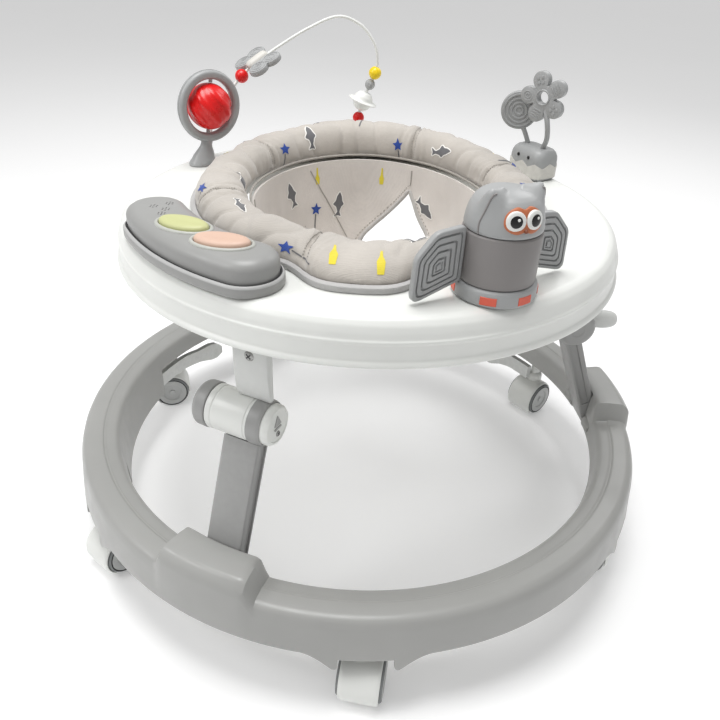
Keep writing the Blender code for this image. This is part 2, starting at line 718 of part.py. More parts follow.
def rattle():
    """A ring on a foot, and the ball that turns inside it on an upright spindle."""
    outer, inner, half = 0.0400, 0.0300, 0.0055
    bm = bmesh.new()
    steps, sides = 30, 8
    loops = []
    for i in range(steps):
        t = 2 * math.pi * i / steps
        loop = []
        for k in range(sides):
            a = 2 * math.pi * k / sides
            r = (outer + inner) / 2 + (outer - inner) / 2 * math.cos(a)
            loop.append(bm.verts.new((r * math.cos(t), half * math.sin(a), r * math.sin(t))))
        loops.append(loop)
    for i, loop in enumerate(loops):
        join_loops(bm, loop, loops[(i + 1) % steps])
    ring = add_object("rattle_ring", finish_mesh(bm, "rattle_ring"), toy_grey(), rattle_place())

    place = rattle_place()
    neck_top = place @ Vector((0.0, 0.0, -outer + 0.004))
    foot = polar(RATTLE_RADIUS + 0.004, RATTLE_AZIMUTH + 4.0, TRAY_TOP + GAP)
    layers = []
    for t, half_x, half_y in ((0.0, 0.0150, 0.0120), (0.25, 0.0145, 0.0115),
                              (0.5, 0.0110, 0.0085), (0.72, 0.0070, 0.0060),
                              (1.0, 0.0080, 0.0050)):
        centre = foot.lerp(neck_top, t)
        frame = Matrix.Translation(centre) @ turn(RATTLE_FACING + 90.0)
        layers.append([frame @ Vector((x, y, 0.0)) for x, y in ellipse(half_x, half_y, 16)])
    cut(ring, loft("rattle_foot", layers), Matrix(), "UNION")
    spin = empty("ball_spin", place)
    add_object("rattle_ball", ball("rattle_ball", 0.0262, 0.0, 18, 10), red_plastic(),
               None, spin)


# ------------------------------------------------------------------ arch wire and beads
def arch_points():
    return [polar(radius, azimuth, height) for azimuth, radius, height in ARCH_ROUTE]


def arch_place(azimuth_or_index, shift=0.0):
    """The wire's frame at a point of its route: Z along the wire."""
    path = smooth_path(arch_points(), 8)
    i = int(azimuth_or_index * 8)
    along = (path[i + 1] - path[i - 1]).normalized()
    quat = along.to_track_quat("Z", "Y")
    return Matrix.Translation(path[i] + along * shift) @ quat.to_matrix().to_4x4()


def arch():
    """The bent toy wire, with both ends let into feet on the tray."""
    points = arch_points()
    points[0] = points[0] + Vector((0, 0, 0.0016))
    points[-1] = points[-1] + Vector((0, 0, 0.0008))
    add_object("arch_wire", rod("arch_wire", smooth_path(points, 3), WIRE_RADIUS, 6),
               white_plastic())


def bead(name, index, radius, mat, profile=None):
    """A bead that turns on the wire; index counts along the wire's route."""
    if profile is None:
        mesh = ball(name, radius, BEAD_BORE)
    else:
        mesh = lathe(name, profile, 18, closed=True)
    spin = empty(name + "_spin", arch_place(index))
    add_object(name, mesh, mat, None, spin)


def saucer_profile():
    """A dome over a bowl with a thin brim, as (radius, height) round the wire."""
    bore = BEAD_BORE
    return [(bore, 0.0120), (0.0060, 0.0118), (0.0100, 0.0085), (0.0125, 0.0030),
            (0.0190, 0.0010), (0.0190, -0.0004), (0.0130, -0.0012), (0.0115, -0.0060),
            (0.0080, -0.0105), (bore, -0.0120)]


def butterfly():
    """Four flat wings round a body that the wire passes through."""
    index = 4.2
    centres = [(28.0, 0.021), (-28.0, 0.021), (152.0, 0.021), (-152.0, 0.021)]
    outline = petals(centres, 0.0120, 0.0085, 48)
    wire = BEAD_BORE
    mesh = slab("butterfly", outline, 0.0070, 0.0010)
    spin = empty("butterfly_spin", arch_place(index))
    stand = Matrix.Rotation(math.pi / 2, 4, "X")
    wings = add_object("butterfly", mesh, toy_grey(), stand, spin)
    bore = lathe("butterfly_bore", [(0.0, -0.030), (wire, -0.030), (wire, 0.030), (0.0, 0.030)], 10)
    cut(wings, bore, arch_place(index))


# ------------------------------------------------------------------ owl
def owl_place():
    """The owl's frame: X out of the tray, the way it looks."""
    return turn(OWL_AZIMUTH) @ Matrix.Translation((OWL_RADIUS, 0, TRAY_TOP + GAP))


def owl_head():
    """A domed head whose rim rises to two ear tips."""
    rows = [(0.0320, 0.0), (0.0320, 0.003), (0.0312, 0.0095), (0.0290, 0.0174),
            (0.0255, 0.0245), (0.0190, 0.0290), (0.0100, 0.0308)]
    steps = 32
    bm = bmesh.new()
    loops = []
    for r, z in rows:
        loop = []
        for i in range(steps):
            angle = 360.0 * i / steps
            ear = max(0.0, 1.0 - away(angle, (68.0, 292.0)) / 26.0) ** 1.5
            share = {0.0245: 1.0, 0.0174: 0.35, 0.0290: 0.25}.get(z, 0.0)
            loop.append(bm.verts.new((r * math.cos(math.radians(angle)),
                                      r * math.sin(math.radians(angle)) * (1 + 0.06 * ear * share),
                                      z + 0.0095 * ear * share)))
        loops.append(loop)
    for lower, upper in zip(loops, loops[1:]):
        join_loops(bm, lower, upper)
    bm.faces.new(loops[0])
    crown = bm.verts.new((0.0, 0.0, 0.0313))
    join_loops(bm, loops[-1], [crown])
    return finish_mesh(bm, "owl_head")


def wing_outline():
    """A wing's side: upright at the body, cut back towards its tip."""
    corners = [(0.0, -0.016, 0.004), (0.047, -0.029, 0.007), (0.045, 0.010, 0.014),
               (0.027, 0.029, 0.013), (0.0, 0.031, 0.004)]
    points = []
    for i, (x, y, radius) in enumerate(corners):
        here = Vector((x, y))
        before = (Vector(corners[i - 1][:2]) - here).normalized()
        after = (Vector(corners[(i + 1) % len(corners)][:2]) - here).normalized()
        reach = radius / math.tan(before.angle(after) / 2)
        start, stop = here + before * reach, here + after * reach
        for k in range(4):
            t = k / 3
            points.append(tuple(start * (1 - t) ** 2 + here * 2 * t * (1 - t) + stop * t * t))
    return points


def owl():
    """Foot, turning drum, head and two ridged wings."""
    place = owl_place()
    foot = [(0.0, 0.0), (0.0335, 0.0), (0.0355, 0.0015), (0.0355, 0.0100), (0.0330, 0.0140),
            (0.0, 0.0140)]
    add_object("owl_foot", lathe("owl_foot", foot, 32), toy_grey(), place)
    spin = empty("owl_drum_spin", place @ Matrix.Translation((0, 0, 0.0143)))
    drum = [(0.0, 0.0), (0.0315, 0.0), (0.0325, 0.0010), (0.0325, 0.0420), (0.0315, 0.0430),
            (0.0, 0.0430)]
    add_object("owl_drum", lathe("owl_drum", drum, 32), dark_grey(), None, spin)
    add_object("owl_head", owl_head(), toy_grey(), place @ Matrix.Translation((0, 0, 0.0576)))
    for key, sense in (("left", 1), ("right", -1)):
        mesh = slab("owl_wing_" + key, [(x * sense, y) for x, y in wing_outline()], 0.006, 0.0012)
        stand = Matrix(((0, 0, 1, -0.006), (1, 0, 0, sense * 0.0332), (0, 1, 0, 0.0305),
                        (0, 0, 0, 1)))
        add_object("owl_wing_" + key, mesh, toy_grey(), place @ turn(OWL_WINGS) @ stand)


# ------------------------------------------------------------------ flower and disc
def sprout_place():
    return turn(SPROUT_AZIMUTH) @ Matrix.Translation((SPROUT_RADIUS, 0, TRAY_TOP + GAP))


def sprout():
    """An eggshell block that carries a flower and a ridged disc on bent stems."""
    place = sprout_place()
    layers = []
    for half_x, half_y, radius, z in ((0.0165, 0.0250, 0.009, 0.0), (0.0180, 0.0265, 0.010, 0.004),
                                      (0.0180, 0.0265, 0.010, 0.024), (0.0165, 0.0250, 0.010, 0.031),
                                      (0.0125, 0.0210, 0.010, 0.0355)):
        layers.append([(x, y, z) for x, y in rounded_box(2 * half_x, 2 * half_y, radius)])
    add_object("sprout_block", loft("sprout_block", layers), toy_grey(), place)

    lift = 0.0355 + 0.0018
    flower_path = smooth_path([(0.0, -0.012, lift), (-0.004, -0.019, lift + 0.012),
                               (-0.008, -0.019, lift + 0.030), (-0.0085, -0.0115, lift + 0.046)],
                              4)
    disc_path = smooth_path([(0.0, 0.014, lift), (-0.004, 0.018, lift + 0.010),
                             (-0.0085, 0.021, lift + 0.019)], 4)

    centres = [(36.0 + 72.0 * i, 0.0190) for i in range(5)]
    outline = petals(centres, 0.0098, 0.0140, 60)
    bm = bmesh.new()
    rings = []
    for scale, z in ((0.95, -0.0045), (1.0, -0.003), (1.0, 0.003), (0.95, 0.0045)):
        rings.append([bm.verts.new((x * scale, y * scale, z)) for x, y in outline])
    for z in (0.0045, -0.0045):
        rings.append([bm.verts.new((0.0068 * math.cos(2 * math.pi * i / 60),
                                    0.0068 * math.sin(2 * math.pi * i / 60), z))
                      for i in range(60)])
    for i, ring in enumerate(rings):
        join_loops(bm, ring, rings[(i + 1) % len(rings)])
    face = Matrix.Rotation(math.radians(90.0), 4, "X")
    flower_turn = turn(-SPROUT_AZIMUTH - 42.0)
    flower = add_object("flower", finish_mesh(bm, "flower"), toy_grey(), place
                        @ Matrix.Translation((-0.0085, -0.0085, lift + 0.0560)) @ flower_turn
                        @ face)
    cut(flower, rod("flower_stem", flower_path, 0.0030, 8), place, "UNION")
    disc = [(0.0, -0.0040), (0.0195, -0.0040), (0.0220, -0.0020), (0.0220, 0.0020),
            (0.0195, 0.0040), (0.0, 0.0040)]
    disc_turn = turn(-SPROUT_AZIMUTH - 20.0)
    swirl = add_object("swirl_disc", lathe("swirl_disc", disc, 32), toy_grey(), place
                       @ Matrix.Translation((-0.0110, 0.0255, lift + 0.0350)) @ disc_turn @ face)
    cut(swirl, rod("disc_stem", disc_path, 0.0028, 8), place, "UNION")


# ------------------------------------------------------------------ assembly
def main():
    clear_scene()
    base_ring()
    stop_arm("left", 159.0, 134.5)
    stop_arm("right", 30.0, 46.0)
    for index, (azimuth, swivel) in enumerate(zip(CASTER_AZIMUTHS, CASTER_SWIVELS), 1):
        caster(index, azimuth, swivel)
    for key, azimuth in LEG_AZIMUTHS.items():
        leg(key, azimuth)
    latch_knob()
    tray()
    seat_ring()
    seat_sling()
    music_panel()
    music_button("lime", LIME_AZIMUTH, lime_plastic())
    music_button("peach", PEACH_AZIMUTH, peach_plastic())
    rattle()
    arch()
    bead("bead_red_left", 2.88, 0.0080, red_plastic())
    bead("bead_yellow", 11.0, 0.0080, yellow_plastic())
    bead("bead_grey", 11.85, 0.0068, toy_grey())
    bead("bead_saucer", 12.8, 0.0190, white_plastic(), saucer_profile())
    bead("bead_red_right", 13.75, 0.0075, red_plastic())
    butterfly()
    owl()
    sprout()


main()
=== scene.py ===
"""Round baby walker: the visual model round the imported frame. Metres, +Z up.

The origin is on the floor under the ring's centre and the child faces +Y. Azimuths are
in degrees from +X, counted towards +Y. A geometry is (points, faces, material index of
each face); helpers below make, place and join them, and piece() makes them an object.
"""

import math

import bmesh
import bpy
from mathutils import Matrix, Vector, noise
from mathutils.bvhtree import BVHTree


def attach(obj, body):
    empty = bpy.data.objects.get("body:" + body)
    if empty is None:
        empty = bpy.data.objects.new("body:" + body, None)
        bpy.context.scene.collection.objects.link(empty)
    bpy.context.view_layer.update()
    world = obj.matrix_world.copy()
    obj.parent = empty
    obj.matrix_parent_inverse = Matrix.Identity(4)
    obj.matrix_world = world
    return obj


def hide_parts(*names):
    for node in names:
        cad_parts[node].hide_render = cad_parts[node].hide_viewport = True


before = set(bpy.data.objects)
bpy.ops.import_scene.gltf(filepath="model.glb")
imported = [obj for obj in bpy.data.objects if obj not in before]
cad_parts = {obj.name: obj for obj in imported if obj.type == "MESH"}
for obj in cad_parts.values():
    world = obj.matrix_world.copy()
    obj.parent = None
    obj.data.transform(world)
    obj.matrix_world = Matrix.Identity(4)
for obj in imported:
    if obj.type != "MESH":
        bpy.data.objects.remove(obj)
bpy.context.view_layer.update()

# ------------------------------------------------------------------ dimensions
RING_OUTER, RING_TOP = 0.340, 0.116
RING_DRAFT = 0.0045                # how far the ring's outer wall leans in
WALL_FOOT, LIP_FOOT, SKIRT_FOOT = 0.072, 0.088, 0.052
SKIRT_SPAN = (161.0, 199.0)
BOSS_RISE, BOSS_HALF, BOSS_SLOPE = 0.022, 7.6, 2.0
SLOT_HALF, SLOT_INNER, SLOT_OUTER, SLOT_LEAN = 0.0203, 0.255, 0.3104, 0.383
LEGS = {"a": 2.5, "b": 122.5, "c": 242.5}
FOOT_PIVOT, KNEE_PIVOT, TRAY_PIVOT = (0.298, 0.096), (0.240, 0.2475), (0.240, 0.340)
LEG_WIDTH, LEG_DEPTH = 0.038, 0.020
KNEE_RADIUS = 0.0215
KNEE_SPAN = (-0.0520, -0.0362, 0.0082, 0.0225, 0.0305)
KNOB_SHIFT = -0.0240
BRACKET_WIDTH, BRACKET_SHIFT, BRACKET_DEPTH = 0.036, 0.006, 0.010
CASTERS = (30.0, 90.0, 150.0, 210.0, 270.0, 330.0)
LOBE_DEPTH, LOBE_START, LOBE_SPAN = 0.0225, 4.4, 6.0    # metres, degrees, degrees
SWIVELS = (190.0, -12.0, 45.0, 20.0, -12.0, 180.0)
SWIVEL_RADIUS, TRAIL, WHEEL_RADIUS, WHEEL_HALF = 0.315, 0.006, 0.0235, 0.0225
HOOD_RADIUS, HOOD_HALF = 0.0270, 0.0150
TRAY_RADIUS, TRAY_LIP, TRAY_TOP, TRAY_HOLE = 0.2635, 0.335, 0.376, 0.150
SEAT_INNER = 0.128
PANEL_AZIMUTH, PANEL_RADIUS, PANEL_HALF, PANEL_SPAN = -136.5, 0.2255, 0.032, 17.5
BUTTONS = {"lime": -138.2, "peach": -125.3}
BUTTON_REACH, BUTTON_HALF, BUTTON_TURN = 0.225, (0.0245, 0.0135), 22.0
POCKET_FLOOR, BUTTON_TRAVEL = 0.0215, 0.002
RATTLE_AZIMUTH, RATTLE_REACH, RATTLE_HEIGHT, RATTLE_FACING = 146.0, 0.225, 0.441, -50.0
OWL_AZIMUTH, OWL_REACH, OWL_WINGS, OWL_FACE = -64.4, 0.2232, 2.0, -8.0
SPROUT_AZIMUTH, SPROUT_REACH = 30.0, 0.233
ARCH = ((144.0, 0.247, TRAY_TOP), (141.0, 0.243, 0.412), (136.5, 0.236, 0.445),
        (131.0, 0.230, 0.469), (127.0, 0.228, 0.480), (119.0, 0.228, 0.497),
        (109.0, 0.228, 0.517), (100.0, 0.228, 0.530), (93.0, 0.228, 0.522),
        (88.5, 0.228, 0.503), (87.0, 0.228, 0.484), (87.5, 0.228, 0.466),
        (89.5, 0.228, 0.447), (91.5, 0.228, 0.426), (92.5, 0.228, 0.404),
        (93.0, 0.228, TRAY_TOP))
WIRE_RADIUS, BEAD_BORE = 0.0018, 0.0024
GAP = 0.0003                       # between a piece and what it stands on
ON_TRAY = TRAY_TOP + GAP


# ------------------------------------------------------------------ numbers and places
def polar(radius, azimuth, height=0.0):
    angle = math.radians(azimuth)
    return Vector((radius * math.cos(angle), radius * math.sin(angle), height))


def turn(azimuth):
    return Matrix.Rotation(math.radians(azimuth), 4, "Z")


def shift(x=0.0, y=0.0, z=0.0):
    return Matrix.Translation((x, y, z))


def tilt(degrees, axis):
    return Matrix.Rotation(math.radians(degrees), 4, axis)


def away(azimuth, centres):
    """Degrees from the nearest of these azimuths."""
    return min(abs((azimuth - c + 180.0) % 360.0 - 180.0) for c in centres)


def ramp(value, start, stop):
    """0 before start, 1 after stop, smooth between them."""
    t = min(max((value - start) / (stop - start), 0.0), 1.0)
    return t * t * (3 - 2 * t)


def along(points, value):
    """The second number of a list of pairs, interpolated at the first."""
    points = sorted(points)
    for (a, u), (b, v) in zip(points, points[1:]):
        if a <= value <= b:
            return u + (v - u) * (value - a) / (b - a)
    return points[0][1] if value < points[0][0] else points[-1][1]


def eased(points, reach, closed=True):
    """The outline with every corner rounded over at most this reach."""
    count, result = len(points), []
    for i, point in enumerate(points):
        here = Vector(point)
        if not closed and i in (0, count - 1):
            result.append(tuple(here))
            continue
        before, after = Vector(points[i - 1]) - here, Vector(points[(i + 1) % count]) - here
        if before.length < 1e-7 or after.length < 1e-7:
            result.append(tuple(here))
            continue
        start = here + before.normalized() * min(reach, before.length * 0.42)
        stop = here + after.normalized() * min(reach, after.length * 0.42)
        for t in (0.0, 0.33, 0.67, 1.0):
            result.append(tuple(start * (1 - t) ** 2 + here * 2 * t * (1 - t) + stop * t * t))
    return result


def inset(outline, distance):
    """The outline drawn in by a distance along its corners' bisectors."""
    count = len(outline)
    area = sum(outline[i - 1][0] * outline[i][1] - outline[i][0] * outline[i - 1][1]
               for i in range(count))
    side = 1.0 if area > 0 else -1.0
    result = []
    for i in range(count):
        here = Vector(outline[i])
        before = (here - Vector(outline[i - 1])).normalized()
        after = (Vector(outline[(i + 1) % count]) - here).normalized()
        way = (before + after).normalized()
        result.append((here.x - side * way.y * distance, here.y + side * way.x * distance))
    return result


def oval(half_x, half_y, steps=48):
    return [(half_x * math.cos(2 * math.pi * i / steps),
             half_y * math.sin(2 * math.pi * i / steps)) for i in range(steps)]


def round_box(width, depth, radius, steps=5):
    points = []
    for quarter, (sx, sy) in enumerate(((1, 1), (-1, 1), (-1, -1), (1, -1))):
        for i in range(steps + 1):
            angle = math.pi / 2 * (quarter + i / steps)
            points.append((sx * (width / 2 - radius) + radius * math.cos(angle),
                           sy * (depth / 2 - radius) + radius * math.sin(angle)))
    return points


def smooth_path(points, per_span):
    """A Catmull-Rom curve through the points."""
    points = [Vector(p) for p in points]
    result = []
    for i in range(len(points) - 1):
        p1, p2 = points[i], points[i + 1]
        p0 = points[i - 1] if i else p1 * 2 - p2
        p3 = points[i + 2] if i + 2 < len(points) else p2 * 2 - p1
        for step in range(per_span):
            t = step / per_span
            result.append(0.5 * (2 * p1 + (p2 - p0) * t + (2 * p0 - 5 * p1 + 4 * p2 - p3) * t * t
                                 + (3 * p1 - p0 - 3 * p2 + p3) * t ** 3))
    result.append(points[-1])
    return result


# ------------------------------------------------------------------ geometries
def skin(layers, wrap=False, mat=0, marks=None):
    """Faces between closed outlines of points; marks gives each span its material."""
    points, faces, mats, loops = [], [], [], []
    for layer in layers:
        loops.append(list(range(len(points), len(points) + len(layer))))
        points += [Vector(p) for p in layer]
    pairs = list(zip(loops, loops[1:])) + ([(loops[-1], loops[0])] if wrap else [])
    for k, (low, high) in enumerate(pairs):
        count = max(len(low), len(high))
        if len(low) == 1 and len(high) == 1:
            continue
        for i in range(count):
            j = (i + 1) % count
            if len(low) == 1:
                faces.append((low[0], high[j], high[i]))
            elif len(high) == 1:
                faces.append((low[i], low[j], high[0]))
            else:
                faces.append((low[i], low[j], high[j], high[i]))
            mats.append(marks[k] if marks else mat)
    if not wrap:
        for end in (loops[0], loops[-1]):
            if len(end) > 2:
                faces.append(tuple(end))
                mats.append((marks[0] if end is loops[0] else marks[-1]) if marks else mat)
    return points, faces, mats


def lathe(profile, steps=64, closed=False, mat=0, marks=None):
    """Turn (radius, height) points about Z."""
    layers = []
    for radius, height in profile:
        if radius < 1e-7:
            layers.append([(0.0, 0.0, height)])
        else:
            layers.append([(radius * math.cos(t), radius * math.sin(t), height)
                           for t in (2 * math.pi * i / steps for i in range(steps))])
    return skin(layers, wrap=closed, mat=mat, marks=marks)


def slab(outline, thickness, edge):
    """An outline in XY made solid about Z = 0, with rounded rims."""
    half, inner = thickness / 2, inset(outline, edge)
    middle = inset(outline, edge * 0.3)
    rows = ((inner, -half), (middle, edge * 0.3 - half), (outline, edge - half),
            (outline, half - edge), (middle, half - edge * 0.3), (inner, half))
    return skin([[(x, y, z) for x, y in line] for line, z in rows])


def rod(path, radius, sides=12, mat=0, wrap=False):
    """A round rod along a path; radius is a number or a function of 0 to 1."""
    layers, normal, count = [], None, len(path)
    for i, point in enumerate(path):
        nxt = path[(i + 1) % count] if wrap else path[min(i + 1, count - 1)]
        way = (nxt - path[i - 1 if (wrap or i) else 0]).normalized()
        if normal is None:
            normal = way.orthogonal().normalized()
        normal = (normal - way * normal.dot(way)).normalized()
        across = way.cross(normal)
        size = radius(i / (count - 1)) if callable(radius) else radius
        layers.append([point + size * (normal * math.cos(a) + across * math.sin(a))
                       for a in (2 * math.pi * k / sides for k in range(sides))])
    return skin(layers, wrap=wrap, mat=mat)


def dome(radius, height, steps=32, rows=8, mat=0, sink=0.0):
    """A low dome on the XY plane, its foot sunk below it."""
    profile = [(radius, -sink)] + [(radius * math.cos(math.pi / 2 * i / rows),
                                    height * math.sin(math.pi / 2 * i / rows))
                                   for i in range(rows + 1)]
    return lathe(profile, steps, mat=mat)


def torus(radius, thick, steps, sides):
    layers = []
    for i in range(steps):
        t = 2 * math.pi * i / steps
        layers.append([((radius + thick * math.cos(a)) * math.cos(t),
                        (radius + thick * math.cos(a)) * math.sin(t), thick * math.sin(a))
                       for a in (2 * math.pi * k / sides for k in range(sides))])
    return skin(layers, wrap=True)


def turned(profile, reach, steps):
    """A solid turned about Z: its profile eased and closed with flat ends."""
    bottom, top = (0.0, profile[0][1]), (0.0, profile[-1][1])
    return lathe([bottom] + eased(profile, reach, closed=False) + [top], steps)


def moved(geo, place):
    return [place @ Vector(p) for p in geo[0]], geo[1], geo[2]


def remarked(geo, steps):
    """The geometry with its material indices moved on."""
    return geo[0], geo[1], [m + steps for m in geo[2]]


def joined(*geos):
    points, faces, mats = [], [], []
    for geo in geos:
        base = len(points)
        points += list(geo[0])
        faces += [tuple(base + i for i in face) for face in geo[1]]
        mats += list(geo[2])
    return points, faces, mats


def make(name, geo, mats, sharp=40.0):
    """An object from a geometry, faces outwards, at the origin."""
    mesh = bpy.data.meshes.new(name)
    mesh.from_pydata([tuple(p) for p in geo[0]], [], geo[1])
    for mat in mats:
        mesh.materials.append(mat)
    mesh.polygons.foreach_set("material_index", geo[2])
    bm = bmesh.new()
    bm.from_mesh(mesh)
    bmesh.ops.recalc_face_normals(bm, faces=bm.faces)
    bm.to_mesh(mesh)
    bm.free()
    mesh.shade_smooth()
    mesh.set_sharp_from_angle(angle=math.radians(sharp))
    obj = bpy.data.objects.new(name, mesh)
    bpy.context.scene.collection.objects.link(obj)
    return obj


def bake(obj, sharp=40.0):
    """Write the modifiers' result into the object's mesh."""
    bpy.context.view_layer.update()
    graph = bpy.context.evaluated_depsgraph_get()
    mesh = bpy.data.meshes.new_from_object(obj.evaluated_get(graph))
    obj.modifiers.clear()
    obj.data = mesh
    mesh.shade_smooth()
    mesh.set_sharp_from_angle(angle=math.radians(sharp))


def carve(obj, *geos, sharp=40.0):
    """Cut closed geometries out of the object."""
    for geo in geos:
        cutter = make("cutter", geo, [])
        modifier = obj.modifiers.new("cut", "BOOLEAN")
        modifier.operation, modifier.object, modifier.solver = "DIFFERENCE", cutter, "EXACT"
        bake(obj, sharp)
        bpy.data.objects.remove(cutter, do_unlink=True)


def fit(obj, body, slot, *nodes):
    """Say what the piece rides on and what it stands for; slot, where its finish would come from,
    is not used.
    """
    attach(obj, body)
    if nodes:
        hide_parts(*nodes)
    return obj


def piece(name, geo, mats, body, slot, *nodes, sharp=40.0):
    return fit(make(name, geo, mats, sharp), body, slot, *nodes)


# ------------------------------------------------------------------ materials
def linear(colour):
    """An sRGB colour as the linear one with alpha that a shader takes."""
    return tuple(c / 12.92 if c < 0.04045 else ((c + 0.055) / 1.055) ** 2.4
                 for c in colour) + (1.0,)


def scaled(colour, factor, lift=0.0):
    return tuple(min(c * factor + lift, 1.0) for c in colour)


class Surface:
    """A material's node tree with its shader and object coordinates."""

    def __init__(self, name, roughness, **constants):
        self.material = bpy.data.materials.new(name)
        self.material.use_nodes = True
        self.tree = self.material.node_tree
        self.shader = self.tree.nodes["Principled BSDF"]
        self.shader.inputs["Roughness"].default_value = roughness
        for socket, value in constants.items():
            self.shader.inputs[socket.replace("_", " ")].default_value = value
        self.where = self.node("ShaderNodeTexCoord").outputs["Object"]

    def node(self, kind, **settings):
        made = self.tree.nodes.new(kind)
        for key, value in settings.items():
            setattr(made, key, value)
        return made

    def link(self, source, target):
        self.tree.links.new(source, target)

    def noise(self, scale, detail=3.0, roughness=0.55, stretch=None):
        made = self.node("ShaderNodeTexNoise")
        made.inputs["Scale"].default_value = scale
        made.inputs["Detail"].default_value = detail
        made.inputs["Roughness"].default_value = roughness
        where = self.where
        if stretch:
            mapping = self.node("ShaderNodeMapping")
            mapping.inputs["Scale"].default_value = stretch
            self.link(where, mapping.inputs["Vector"])
            where = mapping.outputs["Vector"]
        self.link(where, made.inputs["Vector"])
        return made.outputs["Fac"]

    def wave(self, scale, direction):
        made = self.node("ShaderNodeTexWave", wave_type="BANDS", bands_direction=direction)
        made.inputs["Scale"].default_value = scale
        made.inputs["Distortion"].default_value = 0.6
        made.inputs["Detail"].default_value = 1.0
        self.link(self.where, made.inputs["Vector"])
        return made.outputs["Fac"]

    def spread(self, source, low, high, start=0.35, stop=0.65):
        made = self.node("ShaderNodeMapRange")
        for name, value in (("From Min", start), ("From Max", stop), ("To Min", low),
                            ("To Max", high)):
            made.inputs[name].default_value = value
        self.link(source, made.inputs["Value"])
        return made.outputs["Result"]

    def sum(self, first, second, operation="ADD"):
        made = self.node("ShaderNodeMath", operation=operation)
        self.link(first, made.inputs[0])
        self.link(second, made.inputs[1])
        return made.outputs[0]

    def mix(self, factor, first, second):
        """A colour between two, each a colour or a socket."""
        made = self.node("ShaderNodeMix", data_type="RGBA")
        self.link(factor, made.inputs[0])
        for value, socket in ((first, made.inputs[6]), (second, made.inputs[7])):
            if isinstance(value, tuple):
                socket.default_value = value
            else:
                self.link(value, socket)
        return made.outputs[2]

    def bump(self, height, strength, distance):
        made = self.node("ShaderNodeBump")
        made.inputs["Strength"].default_value = strength
        made.inputs["Distance"].default_value = distance
        self.link(height, made.inputs["Height"])
        self.link(made.outputs["Normal"], self.shader.inputs["Normal"])

    def worn_edges(self):
        """1 along convex edges, 0 elsewhere."""
        geometry = self.node("ShaderNodeNewGeometry")
        return self.spread(geometry.outputs["Pointiness"], 0.0, 1.0, 0.53, 0.62)


def plastic(name, colour, roughness=0.38, grain=1.0, **constants):
    """Moulded plastic: fine spark grain, faint clouding, soft wear along its edges."""
    s = Surface(name, roughness, **constants)
    base = s.mix(s.spread(s.noise(7.0, 4.0), 0.0, 1.0), linear(scaled(colour, 0.965)),
                 linear(colour))
    s.link(s.mix(s.sum(s.worn_edges(), s.spread(s.noise(160.0), 0.1, 0.6), "MULTIPLY"), base,
                 linear(scaled(colour, 1.05, 0.012))), s.shader.inputs["Base Color"])
    s.link(s.spread(s.noise(45.0, 5.0), roughness * 0.86, roughness * 1.16),
           s.shader.inputs["Roughness"])
    scratches = s.noise(60.0, 4.0, 0.7, (1.0, 9.0, 1.0))
    s.bump(s.sum(s.noise(1700.0, 2.0), s.spread(scratches, 0.0, 0.25), "ADD"), 0.10 * grain,
           0.00012)
    return s.material


def woven(name, colour, thread=0.0010, depth=0.35, shade=0.90):
    """Plain-weave cloth: crossing threads, slubs, and broad soft patches of painted shade standing
    for the folds.
    """
    s = Surface(name, 0.92, Sheen_Weight=0.35, Sheen_Roughness=0.5)
    scale = 2 * math.pi / (20.0 * thread)
    weave = s.sum(s.sum(s.wave(scale, "X"), s.wave(scale, "Y")), s.wave(scale, "Z"))
    slub = s.noise(380.0, 3.0, 0.6, (1.0, 3.0, 1.0))
    # Painted shade: broad soft patches darkened by the shade factor, standing for the shade in the
    # cloth's folds.
    body = s.mix(s.spread(s.noise(11.0, 5.0), 0.0, 1.0), linear(scaled(colour, shade)),
                 linear(colour))
    threads = s.mix(s.spread(weave, 0.0, 0.25, 0.6, 2.2), body, linear(scaled(colour, 1.05)))
    s.link(s.mix(s.spread(slub, 0.0, 0.35), threads, linear(scaled(colour, 0.93))),
           s.shader.inputs["Base Color"])
    s.bump(s.sum(weave, slub), depth, 0.00030)
    return s.material


RING = plastic("ring_grey", (0.635, 0.635, 0.625), 0.34)
RING_SIDE = plastic("ring_fitting", (0.60, 0.60, 0.59), 0.42)
LEG = plastic("leg_grey", (0.62, 0.62, 0.615), 0.40)
WHITE = plastic("tray_white", (0.905, 0.910, 0.895), 0.34)
BRACKET = plastic("bracket_grey", (0.82, 0.825, 0.815), 0.40)
TOY = plastic("toy_grey", (0.635, 0.64, 0.64), 0.38)
DRUM = plastic("drum_grey", (0.52, 0.505, 0.50), 0.44)
PANEL = plastic("panel_grey", (0.595, 0.595, 0.588), 0.40)
PANEL_LIGHT = plastic("panel_light", (0.80, 0.79, 0.765), 0.45)
# Painted shade: a near-black put into the panel's groove, the wheels' groove and the screws' cross
# recesses, where shade falls.
RECESS_SHADE = plastic("dark_recess", (0.16, 0.16, 0.165), 0.55)
TYRE = plastic("tyre_grey", (0.50, 0.51, 0.51), 0.72, 2.5)
HUB = plastic("wheel_grey", (0.72, 0.725, 0.72), 0.45)
RED = plastic("red", (0.86, 0.045, 0.045), 0.30)
SALMON = plastic("salmon", (0.84, 0.36, 0.27), 0.42)
YELLOW = plastic("yellow", (0.95, 0.82, 0.09), 0.32)
LIME = plastic("lime", (0.755, 0.765, 0.555), 0.50)
PEACH = plastic("peach", (0.83, 0.705, 0.63), 0.50)
TAN = plastic("tan_patch", (0.72, 0.41, 0.26), 0.46)
RIM = plastic("button_rim", (0.71, 0.715, 0.69), 0.45)
